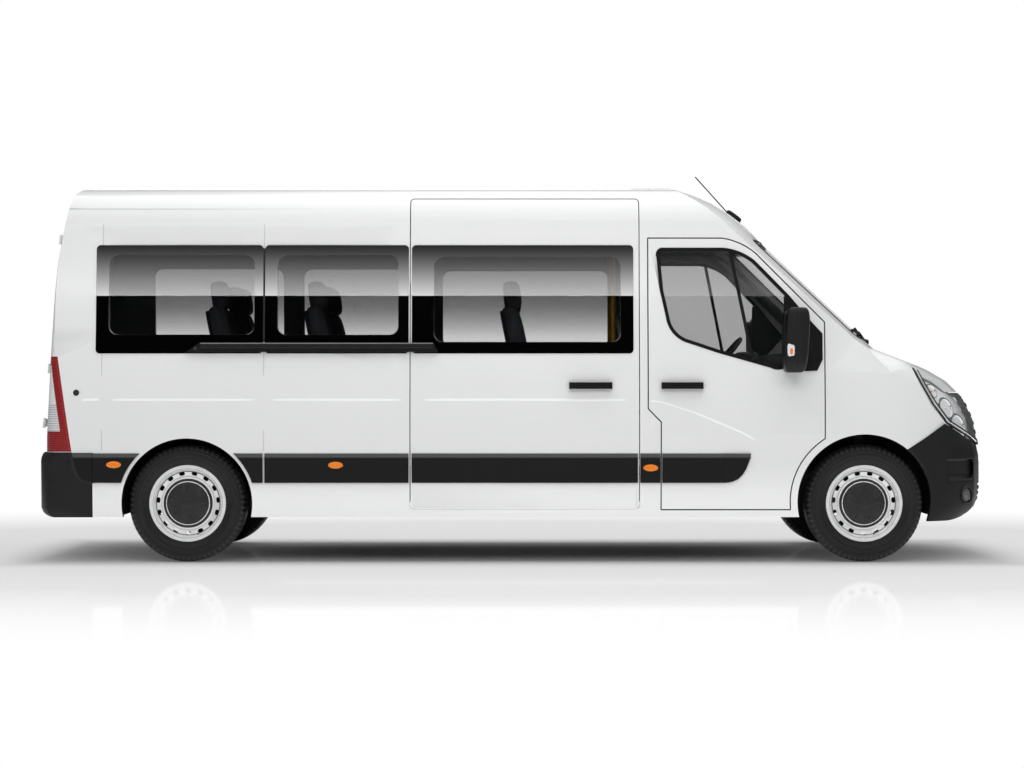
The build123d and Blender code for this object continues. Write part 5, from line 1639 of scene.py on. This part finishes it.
# ------------------------------------------------------------------ rear doors, screen, roof
@dataclass
class RearAndRoof:
    """Fittings of the rear doors, the windscreen's seal, wipers and aerial."""

    shop: Workshop
    wipers: tuple[tuple[float, float, float], ...] = ((-700.0, -120.0, -140.0),
                                                      (-20.0, 560.0, 540.0))

    def build(self) -> None:
        """Builds them all."""
        piece, pair = self.shop.piece, self.shop.pair
        handle = block((float(rear_x(60.0, 1085.0)) - 16, -84, 1085), (34, 54, 190), 0.35, 24)
        piece("rear_handle", handle, Kit.TRIM, REAR_DOOR, sharp=60)
        dish = self.laid(rounded_outline(-132, -36, 965, 1205, 30), -1.5, ring(6, 10, 0.5))
        piece("rear_handle_dish", dish, Kit.PAINT, REAR_DOOR, sharp=60)
        seal = self.laid(rounded_outline(-765, -130, 1410, 1960, 60, 10), 1.0, ring(11, 12, 0.5))
        pair("rear_glass_rubber", seal, Kit.RUBBER, REAR_DOOR)
        self.windscreen_seal()
        panel = self.laid(rounded_outline(-790, -160, 790, 1330, 70, 10), -1.8, ring(9, 12, 0.38))
        pair("rear_door_panel", panel, Kit.PAINT, REAR_DOOR, sharp=60)
        self.aerial()
        self.blades()

    @staticmethod
    def laid(outline: Array, out: float, section: Array) -> Form:
        """A section carried round an outline that lies on the bowed rear."""
        return framed(outline, rear_x(*outline.T, out), section)

    def windscreen_seal(self) -> None:
        """Rubber round the windscreen, its foot bowed upwards at both ends."""
        side, foot_y = np.linspace(2050, 1470, 40), np.linspace(-820, 820, 50)
        z = np.concatenate([side, 1410 + 36 * (foot_y / 862) ** 2, side[::-1],
                            np.full(40, 2076.0)])
        y = np.concatenate([np.linspace(-747, -857, 40), foot_y, np.linspace(857, 747, 40),
                            np.linspace(700, -700, 40)])
        path = np.stack([screen_x(z, y, 0.5), y, z], -1)
        self.shop.piece("windscreen_rubber", carried(path, ring(7, 10, 0.6), (1, 0, 0.7), True),
                        Kit.RUBBER)

    def aerial(self) -> None:
        """Aerial's moulded foot on the brow, narrower towards its top."""
        foot = block((0, 0, 0), (118, 38, 46), 0.5, 24)
        foot.points[:, 1] *= 1 - 0.35 * np.clip(foot.points[:, 2] / 23, 0, 1)
        self.shop.piece("aerial_foot", foot.tilted(36).moved(1462, 0, 2278), Kit.TRIM, sharp=60)

    def blades(self) -> None:
        """Rubber blades under the wiper arms, and the pivots' caps."""
        for i, (y0, y1, pivot) in enumerate(self.wipers):
            y = np.linspace(y0 - 10, y1 + 6, 24)
            z = np.interp(y, (y0, y1), (1500, 1462)) - 8
            path = np.stack([screen_x(z, y, 5.0), y, z], -1)
            self.shop.piece(f"wiper_blade_{i}", carried(path, ring(7, 8, 2.0), (1, 0, 0)),
                            Kit.RUBBER)
            place = (float(screen_x(1420.0, pivot, 6)), pivot, 1421)
            self.shop.piece(f"wiper_cap_{i}", block(place, (58, 60, 44), 0.7, 18), Kit.TRIM,
                            sharp=60)


# ------------------------------------------------------------------ cab and cabin
@dataclass
class Cabin:
    """Dashboard's fittings, steering wheel's pad, lights, rails and poles."""

    shop: Workshop
    column: float = 40.0
    hub: Point = (1430, 430.0, 1310)

    def build(self) -> None:
        """Builds the inside."""
        self.dash()
        self.wheel_pad()
        self.cabin()

    def dash(self) -> None:
        """Hood, instruments, screen, vents, glove box line and gear lever."""
        face = plate(rounded_outline(285, 575, 1270, 1345, 30), 0, 6, axis=0)
        dial = np.stack([430 + 34 * np.cos(circle(40)), 1306 + 34 * np.sin(circle(40))], -1)
        screen = plate(rounded_outline(-95, 95, 1160, 1280, 10), 0, 10, axis=0)
        box = rounded_outline(-800, -330, 1030, 1170, 18)
        lever = carried(((1540, 60, 1090), (1500, 58, 1150), (1478, 56, 1205)), ring(9, 12),
                        (0, 1, 0))
        for name, form, kit, bevel, sharp in (
                ("dash_hood", block((1592, 430, 1322), (150, 420, 84), 0.5, 30), Kit.DASH, 0, 60),
                ("dash_instruments", face.moved(1512, 0, 0), Kit.SCREEN, 0, 40),
                ("dash_dials", joined(framed(dial + (s * 78, 0), 1510, ring(1.6, 6))
                                      for s in (-1, 1)), Kit.STEEL, 0, 40),
                ("dash_screen", screen.moved(1538, 0, 0), Kit.SCREEN, 2, 40),
                ("dash_vents", joined(block((1548, y, z), (10, 130, 7), 0.3, 10)
                                      for y in (-640, -190, 190, 740)
                                      for z in (1196, 1212, 1228, 1244)), Kit.TRIM, 0, 40),
                ("glove_box_line", framed(box, np.interp(box[:, 1], (980, 1200), (1570, 1545)) - 1,
                                          ring(2, 6)), Kit.RUBBER, 0, 40),
                ("gear_lever", lever + block((1472, 56, 1222), (46, 44, 58), 0.8, 18), Kit.TRIM,
                 0, 60)):
            self.shop.piece(name, form, kit, slot="dash", bevel=bevel, sharp=sharp)

    def wheel_pad(self) -> None:
        """Airbag pad in the middle of the steering wheel, square to its column."""
        tilt = math.radians(self.column)
        way = (-math.cos(tilt), 0.0, math.sin(tilt))
        pad = block((0, 0, 0), (150, 46, 132), 0.5, 26)
        centre = tuple(c - 2 * w for c, w in zip(self.hub, way))
        self.shop.piece("steering_pad", pad.aimed(way, centre), Kit.DASH, "steering_wheel",
                        slot="black", sharp=60)

    def cabin(self) -> None:
        """Roof lamps, hand rails, and poles by the door."""
        lamps = joined(block((x, 0, 2398), (260, 90, 22), 0.3, 14)
                       for x in (-2100, -1200, -300, 600))
        rails = joined(carried(np.linspace((-2500, y, 2180), (560, y, 2180), 12), ring(14, 12))
                       for y in (-760, 760))
        poles = joined(carried(np.linspace((620, y, 701), (620, y, 2290), 10), ring(15, 14),
                               (1, 0, 0)) for y in (-560, 20))
        for name, form, kit in (("roof_lamps", lamps, Kit.OPAL), ("hand_rails", rails, Kit.POLE),
                                ("grab_poles", poles, Kit.POLE)):
            self.shop.piece(name, form, kit, slot="liner")


# ------------------------------------------------------------------ assembly
def dress_plain_nodes(shop: Workshop) -> None:
    """Finishes for the CAD nodes that need no more than that."""
    for kit, nodes, slot, sharp in (
            (Kit.TRIM, ("grille",), "grille", 30), (Kit.FLOOR, ("floor",), "", 30),
            (Kit.TRIM, ("wheel_housings",), "", 30), (Kit.DASH, ("dashboard",), "", 30),
            (Kit.IRON, ("engine",), "", 30), (Kit.CHASSIS, ("underframe",), "", 30),
            (Kit.CHASSIS, ("rear_axle",), "iron", 30), (Kit.TRIM, ("wipers", "aerial"), "", 40),
            (Kit.DASH, ("steering_wheel",), "black", 40),
            (Kit.IRON, ("knuckle_right", "knuckle_left"), "", 30)):
        for node in nodes:
            shop.refined(node, kit, sharp, slot)


def glaze(shop: Workshop) -> None:
    """Dresses the glass nodes."""
    shop.refined("side_windows", Kit.BAND, 12)
    shop.refined("windscreen", Kit.WINDSCREEN)
    for side in SIDES:
        shop.dress(f"front_door_{side}_glass", Kit.GLASS)
        shop.dress(f"rear_door_{side}_glass", Kit.REAR_GLASS)


def main() -> None:
    """Builds the studio, then the minibus round its frame, and logs how many pieces were made."""
    logging.basicConfig(level=logging.INFO, format="%(name)s: %(message)s")
    for old in list(bpy.data.objects):
        bpy.data.objects.remove(old)
    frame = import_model()
    shop = Workshop(frame)
    Studio().build()
    dress_plain_nodes(shop)
    BodyShell(shop).build()
    glaze(shop)
    for group in (Bumpers, Lamps, SideTrim, RearAndRoof, Cabin):
        group(shop).build()
    for name, x in (("front", 2209.0), ("rear", -2121.0)):
        RoadWheel(shop, name, x).build()
    Seating(shop).build()
    LOG.info("%d pieces made", shop.count)


if __name__ == "__main__":
    main()
